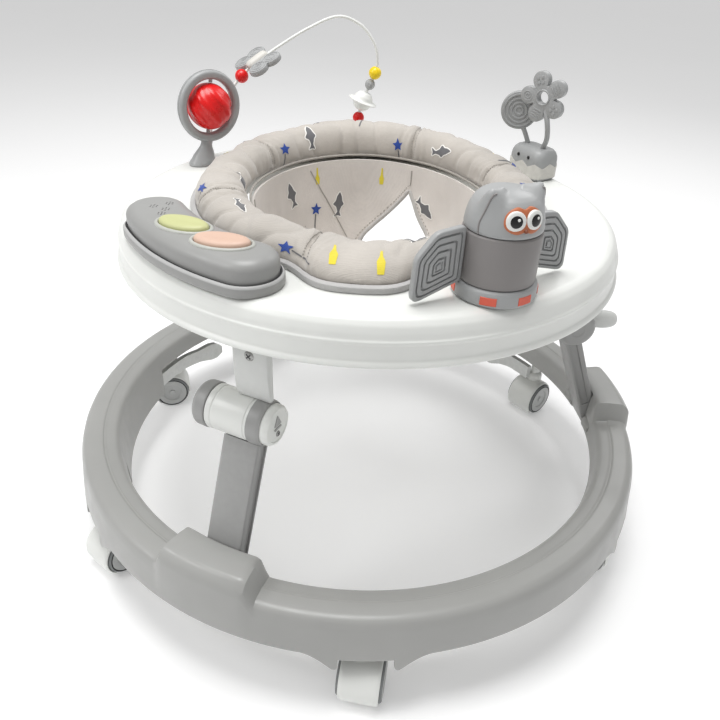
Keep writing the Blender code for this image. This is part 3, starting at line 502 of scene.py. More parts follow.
# Painted highlight: a lighter copy of the panel grey for the bead round the panel's top, where the
# light from above falls.
PANEL_BEAD_LIT = plastic("panel_bead", (0.70, 0.70, 0.695), 0.42)
BEAK = plastic("beak_brown", (0.50, 0.27, 0.17), 0.45)
BLACK = plastic("black_dot", (0.035, 0.035, 0.04), 0.25)
STEEL = plastic("screw_steel", (0.62, 0.62, 0.61), 0.30, Metallic=0.9)
CLOTH = woven("seat_cloth", (0.750, 0.726, 0.695))
# Painted light: the pad's cloth made lighter on the bag, to offset the shade inside it.
CLOTH_INNER_LIT = woven("sling_cloth", (0.875, 0.852, 0.828))
PIPING = woven("piping_cloth", (0.76, 0.75, 0.735), 0.0007, 0.5)
HEM = woven("hem_cloth", (0.74, 0.735, 0.73), 0.0008, 0.5)
STITCH = woven("stitch_thread", (0.66, 0.64, 0.61), 0.0004, 0.5)
PRINT_DARK = woven("print_dark", (0.42, 0.42, 0.43), 0.0010, 0.3)
PRINT_PALE = woven("print_pale", (0.95, 0.94, 0.92), 0.0010, 0.3, 0.96)
PRINT_BLUE = woven("print_blue", (0.16, 0.29, 0.62), 0.0010, 0.3)
PRINT_YELLOW = woven("print_yellow", (0.90, 0.83, 0.24), 0.0010, 0.3)


# ------------------------------------------------------------------ floor ring
def ring_section(azimuth):
    """The ring's shell, an upturned channel, as (radius, height) points."""
    off_leg = away(azimuth, LEGS.values())
    rise = BOSS_RISE * ramp(BOSS_HALF + BOSS_SLOPE - off_leg, 0.0, BOSS_SLOPE)
    off = away(azimuth, CASTERS)
    foot = WALL_FOOT
    if off < LOBE_START:
        foot -= 0.004
    elif off < LOBE_START + LOBE_SPAN:
        reach = (off - LOBE_START) / LOBE_SPAN
        tip = 0.55 + 0.45 * math.sqrt(min(reach / 0.16, 1.0))
        foot -= LOBE_DEPTH * (1 - reach) ** 1.7 * tip
    lip = SKIRT_FOOT if SKIRT_SPAN[0] < azimuth < SKIRT_SPAN[1] else LIP_FOOT
    lean_in = RING_DRAFT * (RING_TOP - lip) / (RING_TOP - SKIRT_FOOT)
    top = RING_TOP + rise
    level = rise / BOSS_RISE
    groove = 0.0020 * (1 - level)
    crown = 0.0035 + 0.0035 * level
    draft = RING_OUTER - RING_DRAFT + 0.11 * (RING_TOP - 0.010 - foot)
    bulge = 0.0015 * level
    section = [(draft, foot), (RING_OUTER - RING_DRAFT + bulge, top - 0.010 - 0.002 * level),
               (RING_OUTER - 0.0070 + bulge, top - crown), (RING_OUTER - 0.0125, top - 0.0005),
               (0.3115, top), (0.3102, top - 0.7 * groove), (0.3088, top - 0.7 * groove),
               (0.3075, top - groove), (0.2970, top - groove - 0.0010),
               (0.2935, top - 0.0065), (0.2915, RING_TOP - 0.018), (0.2915 - lean_in, lip),
               (0.2950 - lean_in, lip), (0.2950, RING_TOP - 0.018), (0.2970, RING_TOP - 0.0095),
               (0.3000, RING_TOP - 0.0065), (RING_OUTER - 0.015, RING_TOP - 0.0045),
               (RING_OUTER - 0.0085, RING_TOP - 0.0115), (draft - 0.0035, foot)]
    return eased(section, 0.0032)


def ring_azimuths():
    """Even steps, closer at the edges of the lobes beside each caster."""
    found = {round(0.75 * i, 3) for i in range(480)}
    for centre in CASTERS:
        for offset in (4.3, 4.39, 4.41, 4.5, 4.7, 4.9, 5.2, 10.38):
            found |= {round((centre + s * offset) % 360.0, 3) for s in (-1, 1)}
    return sorted(found)


def slot_geo(azimuth):
    """A leg's slot through the ring, its outer end leaning in with height."""
    layers = []
    for height in (0.040, FOOT_PIVOT[1], 0.160):
        outer = SLOT_OUTER - SLOT_LEAN * max(height - FOOT_PIVOT[1], 0.0)
        box = round_box(outer - SLOT_INNER, 2 * SLOT_HALF, 0.003, 3)
        layers.append([(x + (outer + SLOT_INNER) / 2, y, height) for x, y in box])
    return moved(skin(layers), turn(azimuth))


def floor_ring():
    layers = [[polar(r, azimuth, z) for r, z in ring_section(azimuth)]
              for azimuth in ring_azimuths()]
    ring = make("floor_ring", skin(layers, wrap=True), [RING])
    carve(ring, *[slot_geo(azimuth) for azimuth in LEGS.values()])
    fit(ring, "base", "ring_plastic", "base_ring")
    for key, azimuth in LEGS.items():
        radial = turn(azimuth)
        parts = []
        for side in (-1, 1):
            place = radial @ shift(FOOT_PIVOT[0] - 0.001, side * (SLOT_HALF + 0.012),
                                   FOOT_PIVOT[1]) @ tilt(90.0, "X")
            parts.append(moved(slab(oval(0.011, 0.011, 28), 0.022, 0.002), place))
        piece("leg_bearing_" + key, joined(*parts), [RING_SIDE], "base", "ring_plastic")
    outline = [(0.2990, 0.0820), (0.3240, 0.0820), (0.3240, 0.1000), (0.2990, 0.1040)]
    collar = [(0.0078, 0.0870), (0.0120, 0.0870), (0.0120, 0.1085), (0.0078, 0.1085)]
    half_rib = 0.162                # degrees
    for i, azimuth in enumerate(CASTERS, 1):
        ribs = [skin([[polar(r, azimuth + side * 5.6 + d, z) for r, z in outline]
                      for d in (-half_rib, half_rib)]) for side in (-1, 1)]
        ribs.append(moved(lathe(eased(collar, 0.001), 32, closed=True),
                          turn(azimuth) @ shift(SWIVEL_RADIUS)))
        piece(f"caster_housing_{i}", joined(*ribs), [RING_SIDE], "base", "ring_plastic")


def keep_fittings():
    """CAD solids whose shape is right get a finish and rounded edges."""
    names = {"stop_arm_left": BRACKET, "stop_arm_right": BRACKET, "tray_lug_a": WHITE,
             "tray_lug_b": WHITE, "tray_lug_c": WHITE}
    for name, mat in names.items():
        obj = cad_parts[name]
        for place in obj.material_slots:
            place.link = "OBJECT"
            place.material = mat
        modifier = obj.modifiers.new("edges", "BEVEL")
        modifier.width, modifier.segments = 0.0008, 2
        modifier.limit_method, modifier.angle_limit = "ANGLE", math.radians(35)


# ------------------------------------------------------------------ casters
def hood():
    """A fender over the wheels on a round stem, in the wheel's own frame: Z is the axle."""
    section = eased([(0.0048, -0.0146), (0.0225, -0.0146), (0.0240, -0.0150), (0.0243, -0.0196),
                     (0.0258, -0.0196), (0.0269, -0.0165), (HOOD_RADIUS, -0.0060),
                     (HOOD_RADIUS, 0.0060), (0.0269, 0.0165), (0.0258, 0.0196),
                     (0.0243, 0.0196), (0.0240, 0.0150), (0.0225, 0.0146), (0.0048, 0.0146)],
                    0.0012)
    layers = []
    for i in range(49):
        angle = math.radians(-48 + 236 * i / 48)
        layers.append([(r * math.cos(angle), r * math.sin(angle), y) for r, y in section])
    return skin(layers)


def wheel_pair():
    """Both wheels: a grey disc with a raised ring, a thin groove with painted shade and a grey
    tread.
    """
    profile, marks = [], []
    half = [(0.0, WHEEL_HALF - 0.0010, 0), (0.0035, WHEEL_HALF - 0.0006, 0),
            (0.0045, WHEEL_HALF - 0.0022, 0), (0.0125, WHEEL_HALF - 0.0022, 0),
            (0.0140, WHEEL_HALF - 0.0006, 0), (0.0190, WHEEL_HALF, 0),
            # Mark 1 paints shade into the groove between the disc and the tread.
            (0.0203, WHEEL_HALF - 0.0004, 0), (0.0206, WHEEL_HALF - 0.0015, 1),
            (0.0214, WHEEL_HALF - 0.0015, 1), (0.0217, WHEEL_HALF - 0.0004, 1),
            (0.0224, WHEEL_HALF - 0.0006, 2), (WHEEL_RADIUS, WHEEL_HALF - 0.0020, 2),
            (WHEEL_RADIUS, HOOD_HALF + 0.0016, 2),
            (0.0222, HOOD_HALF + 0.0003, 0), (0.0044, HOOD_HALF + 0.0003, 0)]
    for r, y, mark in half + [(r, -y, m) for r, y, m in reversed(half)]:
        profile.append((r, y))
        marks.append(mark)
    return lathe(profile, 56, marks=marks)


def caster(index, azimuth, swivel):
    stand = turn(azimuth) @ shift(SWIVEL_RADIUS) @ turn(swivel)
    axle = stand @ shift(TRAIL, 0, WHEEL_RADIUS) @ tilt(90.0, "X")
    stem = eased([(0.0110, 0.0400), (0.0110, 0.0575), (0.0095, 0.0605), (0.0065, 0.0620),
                  (0.0065, RING_TOP - 0.0065), (0.0, RING_TOP - 0.0065)], 0.0012, closed=False)
    cover = joined(moved(hood(), axle), moved(lathe([(0.0, 0.0400)] + stem, 40), stand))
    piece(f"hood_{index}", cover, [WHITE], f"caster_{index}", "white_plastic",
          f"caster_hood_{index}")
    piece(f"wheels_{index}", moved(wheel_pair(), axle), [HUB, RECESS_SHADE, TYRE], f"wheels_{index}",
          "tyre_rubber", f"caster_wheel_{index}", sharp=30.0)


# ------------------------------------------------------------------ folding legs
def screw(radius=0.0036):
    """A pan-head screw with a cross recess, standing on the XY plane."""
    parts = [dome(radius, 0.0013, 28, 5, sink=0.0006)]
    for angle in (45.0, 135.0):
        recess = round_box(radius * 1.25, radius * 0.26, radius * 0.1, 2)
        # The cross recess takes the screw's second material; the pieces that use the screw give it
        # painted shade there.
        bar = skin([[(x, y, z) for x, y in recess] for z in (0.0008, 0.00142)], mat=1)
        parts.append(moved(bar, turn(angle)))
    return joined(*parts)


def link_side(length, depth):
    """A leg's side outline: round about the foot's pivot, square at the knee."""
    half = depth / 2
    points = [(half * math.cos(math.pi * i / 16), -half * math.sin(math.pi * i / 16))
              for i in range(17)]
    return points + [(-half, length), (half, length)]


def leg(key, azimuth):
    radial = turn(azimuth)
    lower = math.atan2(FOOT_PIVOT[0] - KNEE_PIVOT[0], KNEE_PIVOT[1] - FOOT_PIVOT[1])
    length = math.hypot(FOOT_PIVOT[0] - KNEE_PIVOT[0], KNEE_PIVOT[1] - FOOT_PIVOT[1])
    foot = radial @ shift(FOOT_PIVOT[0], 0, FOOT_PIVOT[1]) @ Matrix.Rotation(-lower, 4, "Y")
    knee = radial @ shift(KNEE_PIVOT[0], 0, KNEE_PIVOT[1])
    top = length - KNEE_RADIUS + 0.0040
    stand = tilt(90.0, "X")
    body = moved(slab(link_side(top, LEG_DEPTH), LEG_WIDTH, 0.0030), foot @ stand)
    shell = make("leg_post_" + key, body, [LEG])
    channel = [(-0.0060, 0.026), (0.0035, 0.026), (0.0035, top - 0.004), (-0.0060, top - 0.004)]
    cuts = [moved(skin([[(x, y, z) for x, z in eased(channel, 0.003)]
                        for y in (side * 0.030, side * (LEG_WIDTH / 2 - 0.0020))]), foot)
            for side in (-1, 1)]
    saddle = moved(lathe([(0.0, -0.060), (KNEE_RADIUS + 0.0008, -0.060),
                          (KNEE_RADIUS + 0.0008, 0.060), (0.0, 0.060)], 72),
                   knee @ tilt(-90.0, "X"))
    carve(shell, *cuts, saddle)
    fit(shell, "lower_leg_" + key, "leg_plastic", "lower_leg_" + key)

    start, upper = KNEE_RADIUS + 0.0012, TRAY_PIVOT[1] - KNEE_PIVOT[1]
    half = BRACKET_DEPTH / 2
    side = [(-half, start), (0.0, start), (0.0030, start + 0.008), (half, start + 0.030)]
    side += [(half * math.cos(math.pi * i / 12), upper + half * math.sin(math.pi * i / 12))
             for i in range(13)] + [(-half, start + 0.012)]
    place = knee @ shift(0, BRACKET_SHIFT, 0)
    geo = moved(slab(side, BRACKET_WIDTH, 0.0022), place @ stand)
    # The screw's cross recess is painted shade.
    fixing = remarked(moved(screw(0.0048), place @ shift(half + 0.0001, 0.0, start + 0.047)
                            @ tilt(90.0, "Y")), 1)
    piece("leg_bracket_" + key, joined(geo, fixing), [BRACKET, STEEL, RECESS_SHADE],
          "upper_leg_" + key, "bracket_plastic", "upper_bracket_" + key)
    knee_parts(key, knee)


def knee_parts(key, knee):
    """Cap, barrel, collar and lock button, turned about the knee's axle."""
    lay = knee @ tilt(-90.0, "X")
    r = KNEE_RADIUS
    cap_end, start, end, collar_end, button_end = KNEE_SPAN
    barrel = [(r - 0.001, start), (r, start + 0.0008), (r, start + 0.0060),
              (r - 0.0006, start + 0.0066), (r - 0.0006, start + 0.0074), (r, start + 0.0080),
              (r, end - 0.0030), (r - 0.0006, end - 0.0024), (r - 0.0006, end - 0.0014),
              (r - 0.0004, end)]
    piece("barrel_" + key, moved(turned(barrel, 0.0004, 72), lay), [WHITE], "upper_leg_" + key,
          "white_plastic", "knee_barrel_" + key)
    inner = start - GAP
    cap = [(0.0, cap_end + 0.0008), (0.0075, cap_end + 0.0006), (0.0085, cap_end),
           (r - 0.006, cap_end), (r - 0.002, cap_end + 0.0015), (r + 0.0004, cap_end + 0.0045),
           (r + 0.0008, inner - 0.0007), (r, inner)]
    cap = eased(cap, 0.0012, closed=False) + [(0.0, inner)]
    piece("cap_" + key, moved(lathe(cap, 72), lay), [LEG], "lower_leg_" + key, "leg_plastic",
          "knee_cap_" + key)
    inner = end + GAP
    floor = inner + 0.0045
    collar = [(r, inner), (r + 0.0008, inner + 0.0007), (r + 0.0004, collar_end - 0.003),
              (r - 0.0008, collar_end), (0.0200, collar_end), (0.0200, floor)]
    piece("collar_" + key, moved(turned(collar, 0.0007, 72), lay), [LEG], "lower_leg_" + key,
          "leg_plastic", "knee_collar_" + key)
    button = [(0.0, floor + 0.004), (0.0196, floor + 0.004), (0.0196, button_end - 0.0030),
              (0.0178, button_end - 0.0006), (0.0158, button_end - 0.0002),
              (0.0152, button_end - 0.0010), (0.0, button_end - 0.0010)]
    disc = moved(lathe(button, 72), lay)
    face = lay @ shift(0, 0, button_end - 0.0010)
    arrow = eased([(-0.0056, -0.0010), (0.0056, -0.0010), (0.0, -0.0118)], 0.0010)
    bar = [(x, y + 0.0020) for x, y in round_box(0.0112, 0.0020, 0.0009, 3)]
    arrow, bar = (skin([[(x, y, z) for x, y in outline] for z in (-0.0002, 0.0008)], mat=1)
                  for outline in (arrow, bar))
    # The screw's cross recess is painted shade.
    fixing = remarked(moved(screw(0.0030), shift(0.0, 0.0084, 0.0)), 2)
    marks = moved(joined(arrow, bar, fixing), face)
    piece("lock_" + key, joined(disc, marks), [WHITE, LEG, STEEL, RECESS_SHADE], "knee_button_" + key,
          "white_plastic", "knee_button_" + key)


def latch():
    """The round knob beside leg a's knee."""
    start = KNEE_PIVOT[0] + KNEE_RADIUS + 0.0012
    knob = [(0.0085, start), (0.0095, start + 0.003), (0.0105, start + 0.016),
            (0.0103, start + 0.021), (0.0093, start + 0.027), (0.0070, start + 0.0312),
            (0.0035, start + 0.0327)]
    knob = [(0.0, start)] + eased(knob, 0.002, closed=False) + [(0.0, start + 0.033)]
    place = turn(LEGS["a"]) @ shift(0, KNOB_SHIFT, KNEE_PIVOT[1]) @ tilt(90.0, "Y")
    piece("latch", moved(lathe(knob, 56), place), [BRACKET], "lower_leg_a", "bracket_plastic",
          "latch_knob")


# ------------------------------------------------------------------ tray
def tray():
    r, top, lip = TRAY_RADIUS, TRAY_TOP, TRAY_LIP
    profile = [(r, lip), (r + 0.0012, lip + 0.002), (r, lip + 0.0045), (r - 0.0022, lip + 0.0060),
               (r - 0.0026, lip + 0.0200), (r - 0.0018, lip + 0.0212), (r - 0.0019, lip + 0.0232),
               (r - 0.0032, lip + 0.0244), (r - 0.0042, top - 0.012), (r - 0.0065, top - 0.006),
               (r - 0.0105, top - 0.0020), (r - 0.016, top), (TRAY_HOLE + 0.003, top),
               (TRAY_HOLE, top - 0.002), (TRAY_HOLE, top - 0.016), (TRAY_HOLE + 0.003, top - 0.016),
               (TRAY_HOLE + 0.003, top - 0.004), (r - 0.017, top - 0.004),
               (r - 0.0105, top - 0.008), (r - 0.0070, top - 0.014), (r - 0.0050, lip)]
    piece("tray_shell", lathe(eased(profile, 0.0016), 256, closed=True), [WHITE], "tray",
          "white_plastic", "tray")


# ------------------------------------------------------------------ seat
def seat_reach(azimuth):
    """The pad's outer radius: it overhangs the tray between the panel and the owl."""
    near = math.exp(-(away(azimuth, (-95.0,)) / 15.0) ** 4)
    return 0.187 + 0.028 * near - 0.004 * math.exp(-(away(azimuth, (-66.0,)) / 8.0) ** 2)


SEAT_SEAMS = (-109.0, 66.0, 144.0, -20.0, 18.0, -160.0)   # seams across the pad
SEAT_VOXEL = 0.0050
SEAT_CAP = 0.007                   # the most that the simulation may swell the pad
MOUTH_RISE = 0.0085                # how much higher the mouth's edge lies at the far side
PAD_SPAN = 3.0                     # degrees between the pad's sections
CLOTH_FRAMES = 20


def farness(azimuth):
    """1 at the +Y side, where the pad stands highest, falling to 0 at the -Y side."""
    return math.exp(-(away(azimuth, (92.0,)) / 68.0) ** 2)


def pad_section(azimuth, shrink):
    """The pad's cut at an azimuth, drawn in by shrink to leave room for the swelling."""
    near = math.exp(-(away(azimuth, (-74.0,)) / 48.0) ** 2)
    outer, inner = seat_reach(azimuth) - shrink, SEAT_INNER + shrink + 0.006 * near
    middle, half = (outer + inner) / 2, (outer - inner) / 2
    far = farness(azimuth)
    height = 0.0305 + 0.0190 * far - 0.0050 * near - shrink
    foot = ON_TRAY + 0.0012
    points = []
    for i in range(15):
        angle = math.pi * i / 14
        c, s = math.cos(angle), math.sin(angle)
        raised = MOUTH_RISE * far * (1 - s) * (1 if c < 0 else 0)
        points.append((middle + half * math.copysign(abs(c) ** 0.82, c),
                       foot + 0.004 + raised + (height - 0.004) * s ** 0.78))
    return points + [(middle - half + 0.004, foot + MOUTH_RISE * far), (middle, foot + 0.003 * far),
                     (middle + half - 0.004, foot)]


def seat_pad():
    """The padded ring: sewn panels, swollen by a cloth simulation, then creased."""
    layers = [[polar(r, azimuth, z) for r, z in pad_section(azimuth, 0.0035)]
              for azimuth in (PAD_SPAN * i for i in range(120))]
    pad = make("seat_pad", skin(layers, wrap=True), [CLOTH], 180.0)
    remesh = pad.modifiers.new("even", "REMESH")
    remesh.mode, remesh.voxel_size = "VOXEL", SEAT_VOXEL
    bake(pad, 180.0)
    rest = [v.co.copy() for v in pad.data.vertices]
    held = pad.vertex_groups.new(name="held")
    for v in pad.data.vertices:
        azimuth = math.degrees(math.atan2(v.co.y, v.co.x))
        seam = away(azimuth, SEAT_SEAMS) < 1.1
        inside = math.hypot(v.co.x, v.co.y) < 0.15
        low = ON_TRAY + 0.005 + (MOUTH_RISE * farness(azimuth) if inside else 0.0)
        weight = 1.0 if v.co.z < low else (0.8 if seam else 0.0)
        held.add([v.index], weight, "REPLACE")
    cloth = pad.modifiers.new("swell", "CLOTH")
    cloth.settings.use_pressure = True
    cloth.settings.uniform_pressure_force = 4.0
    cloth.settings.effector_weights.gravity = 0.0
    cloth.settings.vertex_group_mass = "held"
    cloth.settings.tension_stiffness = 8.0
    cloth.settings.compression_stiffness = 4.0
    cloth.settings.bending_stiffness = 0.3
    cloth.point_cache.frame_start, cloth.point_cache.frame_end = 1, CLOTH_FRAMES
    for number in range(1, CLOTH_FRAMES + 1):
        bpy.context.scene.frame_set(number)
    bake(pad, 180.0)
    bpy.context.scene.frame_set(1)
    for v, place in zip(pad.data.vertices, rest):
        step = v.co - place
        if step.length > SEAT_CAP:
            v.co = place + step.normalized() * SEAT_CAP
    detail = pad.modifiers.new("fine", "SUBSURF")
    detail.levels = detail.render_levels = 1
    bake(pad, 180.0)
    crease(pad)
    fit(pad, "tray", "seat_cloth", "seat_ring")
    return pad


def crease(pad):
    """Gathers across the ring, soft dents, and sunken seams."""
    for v in pad.data.vertices:
        azimuth = math.degrees(math.atan2(v.co.y, v.co.x))
        radius = math.hypot(v.co.x, v.co.y)
        up = ramp(v.co.z, ON_TRAY + 0.004, ON_TRAY + 0.018)
        arc = math.radians(azimuth) * 0.16
        folds = noise.noise(Vector((arc * 62.0, radius * 9.0, v.co.z * 11.0)))
        sharp_folds = 1.0 - abs(noise.noise(Vector((arc * 34.0, radius * 16.0 + 5.0, v.co.z * 8))))
        dents = noise.noise(v.co * 24.0)
        seam = away(azimuth, SEAT_SEAMS)
        distance = math.radians(seam) * radius
        tuck = math.exp(-(distance / 0.0022) ** 2)
        gather = math.exp(-(distance / 0.020) ** 2) * math.sin(distance * 900.0 + radius * 300.0)
        push = up * (0.0016 * folds + 0.0020 * dents - 0.0030 * sharp_folds ** 9
                     - 0.0050 * tuck + 0.0008 * gather)
        middle = (seat_reach(azimuth) + SEAT_INNER) / 2
        core = polar(middle, azimuth, ON_TRAY + 0.006)
        v.co += (v.co - core).normalized() * push
        v.co.z = max(v.co.z, ON_TRAY)
    pad.data.update()


# The bag's profile, as (radius, height).
SLING = ((0.1265, TRAY_TOP - 0.0003), (0.1240, 0.345), (0.1180, 0.305), (0.1060, 0.265),
         (0.0860, 0.232), (0.0560, 0.209), (0.0, 0.1975))
SLING_THICK = 0.0024
# Leg openings: azimuth of the middle, then half outline as (along the wall, height).
HOLE_RIGHT = (64.0, ((0.0, 0.352), (0.008, 0.343), (0.016, 0.333), (0.031, 0.316),
                     (0.043, 0.303), (0.052, 0.290), (0.056, 0.272), (0.050, 0.252),
                     (0.030, 0.238), (0.0, 0.233), (-0.030, 0.238), (-0.046, 0.254),
                     (-0.048, 0.276), (-0.040, 0.294), (-0.029, 0.308), (-0.017, 0.323),
                     (-0.007, 0.340)))
HOLE_LEFT = (129.0, ((0.0, 0.306), (0.012, 0.300), (0.026, 0.288), (0.035, 0.272),
                     (0.036, 0.256), (0.026, 0.242), (0.0, 0.236), (-0.026, 0.242),
                     (-0.036, 0.256), (-0.035, 0.272), (-0.026, 0.288), (-0.012, 0.300)))


def sling_radius(height):
    return along([(z, r) for r, z in SLING], height)


def wall_azimuth(middle, across, height):
    """The azimuth of a point this far along the bag's wall from a middle azimuth."""
    turned_by = math.degrees(math.asin(min(abs(across) / sling_radius(height), 0.99)))
    return middle + turned_by * (1 if across > 0 else -1)


def sling_fold(azimuth, height):
    """How far the cloth stands off its plain shape: long vertical folds, deeper below."""
    depth = ramp(height, TRAY_TOP - 0.002, TRAY_TOP - 0.040)
    arc = math.radians(azimuth)
    long_folds = noise.noise(Vector((math.cos(arc) * 3.2, math.sin(arc) * 3.2, height * 7.0)))
    fine = noise.noise(Vector((math.cos(arc) * 11.0, math.sin(arc) * 11.0, height * 26.0)))
    ridge = abs(noise.noise(Vector((math.cos(arc) * 5.0, math.sin(arc) * 5.0, height * 9.0 + 4))))
    return depth * (0.0040 * long_folds + 0.0012 * fine + 0.0022 * (0.4 - ridge)) - 0.0012 * depth


def hole_outline(points, per_span=5):
    loop = [(*p, 0.0) for p in points]
    path = smooth_path([loop[-1]] + loop + [loop[0], loop[1]], per_span)
    return [(p.x, p.y) for p in path[per_span:-2 * per_span]]


def seat_sling():
    """The cloth seat: one bag-shaped panel with a bound opening for each leg."""
    path = smooth_path([(r, 0.0, z) for r, z in SLING], 7)
    rows = [(max(p.x, 0.0), p.z) for p in path]
    rows[-1] = (0.0, SLING[-1][1])
    steps = 144
    layers = []
    for thick, line in ((0.0, rows), (SLING_THICK, rows[::-1])):
        for r, z in line:
            rise = thick * (1.0 if r < 0.09 else 0.3)
            if r < 1e-6:
                layers.append([(0.0, 0.0, z + thick)])
                continue
            loop = []
            for i in range(steps):
                azimuth = 360.0 * i / steps
                fold = sling_fold(azimuth, z) * min(r / 0.06, 1.0)
                lift = 0.0095 * farness(azimuth) * ramp(z, TRAY_TOP - 0.030, TRAY_TOP)
                loop.append(polar(max(r - thick + fold, 0.001), azimuth,
                                  (z if r > 0.124 else z + rise) + lift))
            layers.append(loop)
    # The bag's cloth is painted lighter to offset the shade inside the bag.
    sling = make("seat_bag", skin(layers, wrap=True), [CLOTH_INNER_LIT], 60.0)
    cutters = []
    for middle, points in (HOLE_RIGHT, HOLE_LEFT):
        outline = hole_outline(points)
        cutters.append(moved(skin([[(x, y, z) for y, z in outline] for x in (0.012, 0.190)]),
                             turn(middle)))
    carve(sling, *cutters, sharp=60.0)
    fit(sling, "tray", "seat_cloth", "seat_sling")
    for key, (middle, points) in (("right", HOLE_RIGHT), ("left", HOLE_LEFT)):
        path = []
        for y, z in hole_outline(points, 8):
            azimuth = wall_azimuth(middle, y, z)
            r = sling_radius(z) + (sling_fold(azimuth, z) - SLING_THICK / 2)
            path.append(polar(r, azimuth, z + 0.0004))
        binding = make("binding_" + key, rod(path, 0.0026, 12, wrap=True), [PIPING])
        fit(binding, "tray", "seat_cloth")
    return sling


def seam_lines(pad_tree, bag_tree):
    """Piping round the mouth, the hem at the pad's foot, stitches and the bag's seams."""
    mouth = [polar(SEAT_INNER - 0.0008 + 0.0005 * math.sin(math.radians(a * 9)), a,
                   ON_TRAY + 0.0052 + MOUTH_RISE * farness(a)) for a in range(0, 360, 3)]
    hem = [[polar(seat_reach(a) + d, a, z) for d, z in eased(
        ((-0.0045, ON_TRAY), (0.0010, ON_TRAY), (0.0014, ON_TRAY + 0.0058),
         (-0.0045, ON_TRAY + 0.0066)), 0.0010)] for a in range(0, 360, 2)]
    edging = make("mouth_piping", rod(mouth, 0.0013, 12, wrap=True), [STITCH])
    fit(edging, "tray", "seat_cloth")
    band = make("hem_band", skin(hem, wrap=True), [HEM])
    fit(band, "tray", "seat_cloth")
    stitches = []

    def row(points):
        for start, stop in zip(points[::2], points[1::2]):
            if start and stop and 0.0004 < (stop - start).length < 0.008:
                path = smooth_path([start, (start + stop) / 2, stop], 3)
                stitches.append(rod(path, lambda t: 0.00042 * (0.5 + math.sin(math.pi * t)), 6))

    for seam in SEAT_SEAMS:
        for offset in (-0.9, 0.9):
            row([on_pad(pad_tree, seam + offset, theta, 0.0002) for theta in range(18, 170, 3)])
    for middle, points in (HOLE_RIGHT, HOLE_LEFT):
        centre_z = sum(z for _, z in points) / len(points)
        grown = [(y * 1.10, centre_z + (z - centre_z) * 1.10 + 0.0015)
                 for y, z in hole_outline(points, 9)]
        row([on_bag(bag_tree, wall_azimuth(middle, y, z), z, 0.0002) for y, z in grown])
    step = 0.0022
    for azimuth, low, lean in ((63.8, 0.360, 0.0), (101.0, 0.290, 260.0), (-90.0, 0.215, 0.0),
                               (0.0, 0.215, 0.0), (180.0, 0.215, 0.0)):
        count = int((0.380 - low) / step)
        points = [on_bag(bag_tree, azimuth + lean * step * i, low + step * i, 0.0003)
                  for i in range(count)]
        stitches.append(rod([p for p in points if p], 0.0006, 8))
    fit(make("stitches", joined(*stitches), [STITCH]), "tray", "seat_cloth")


def tree_of(obj):
    return BVHTree.FromObject(obj, bpy.context.evaluated_depsgraph_get())


def on_pad(tree, azimuth, theta, lift):
    """A point on the pad: theta turns from its outer side over its top to its inner side."""
    middle = (seat_reach(azimuth) + SEAT_INNER) / 2
    core = polar(middle, azimuth, ON_TRAY + 0.008)
    angle = math.radians(theta)
    way = polar(1.0, azimuth) * math.cos(angle) + Vector((0, 0, math.sin(angle)))
    hit, normal, *_ = tree.ray_cast(core + way * 0.09, -way)
    return hit + normal * lift if hit else None


def on_bag(tree, azimuth, height, lift):
    """A point on the bag's inner face."""
    hit, normal, *_ = tree.ray_cast(Vector((0, 0, height)), polar(1.0, azimuth))
    if hit is None or hit.length < 0.02:
        return None
    inward = -polar(1.0, azimuth)
    return hit + (normal if normal.dot(inward) > 0 else -normal) * lift


# ------------------------------------------------------------------ printed motifs
def fish_shape(grow=0.0):
    """A plain slim fish, 31 mm long, lying along X."""
    body = [(0.0160, 0.0), (0.0100, 0.0034), (0.0050, 0.0042), (0.0004, 0.0082),
            (-0.0026, 0.0034), (-0.0088, 0.0013), (-0.0150, 0.0064), (-0.0128, 0.0),
            (-0.0146, -0.0040), (-0.0088, -0.0013), (-0.0022, -0.0034), (0.0006, -0.0068),
            (0.0046, -0.0040), (0.0100, -0.0030)]
    outline = eased(body, 0.0016)
    return inset(outline, -grow) if grow else outline


def star_shape():
    """A plain star with five points."""
    corners = []
    for i in range(10):
        angle, reach = math.pi / 5 * i + math.pi / 2, 0.0080 if i % 2 == 0 else 0.0036
        corners.append((math.cos(angle) * reach, math.sin(angle) * reach))
    return eased(corners, 0.0008)


def bar_shape(width, length, x=0.0, y=0.0):
    return [(px + x, py + y) for px, py in round_box(width, length, width * 0.45, 3)]


def spade_shape(stretch):
    """A narrow bar with a broader foot."""
    half = [(0.0008, 0.0105), (0.0013, 0.0020), (0.0031, -0.0025), (0.0023, -0.0095)]
    points = half + [(-x, y) for x, y in reversed(half)]
    return eased([(x, y * stretch) for x, y in points[::-1]], 0.0007)


MOTIFS = {
    "fish": ((PRINT_PALE, fish_shape(0.0014)), (PRINT_DARK, fish_shape())),
    "star": ((PRINT_DARK, bar_shape(0.0017, 0.020, 0.0, -0.016)), (PRINT_BLUE, star_shape())),
    "stick": ((PRINT_DARK, bar_shape(0.0018, 0.018)),),
    "brush": ((PRINT_YELLOW, spade_shape(1.0)),),
    "spade": ((PRINT_YELLOW, spade_shape(1.5)),),
}
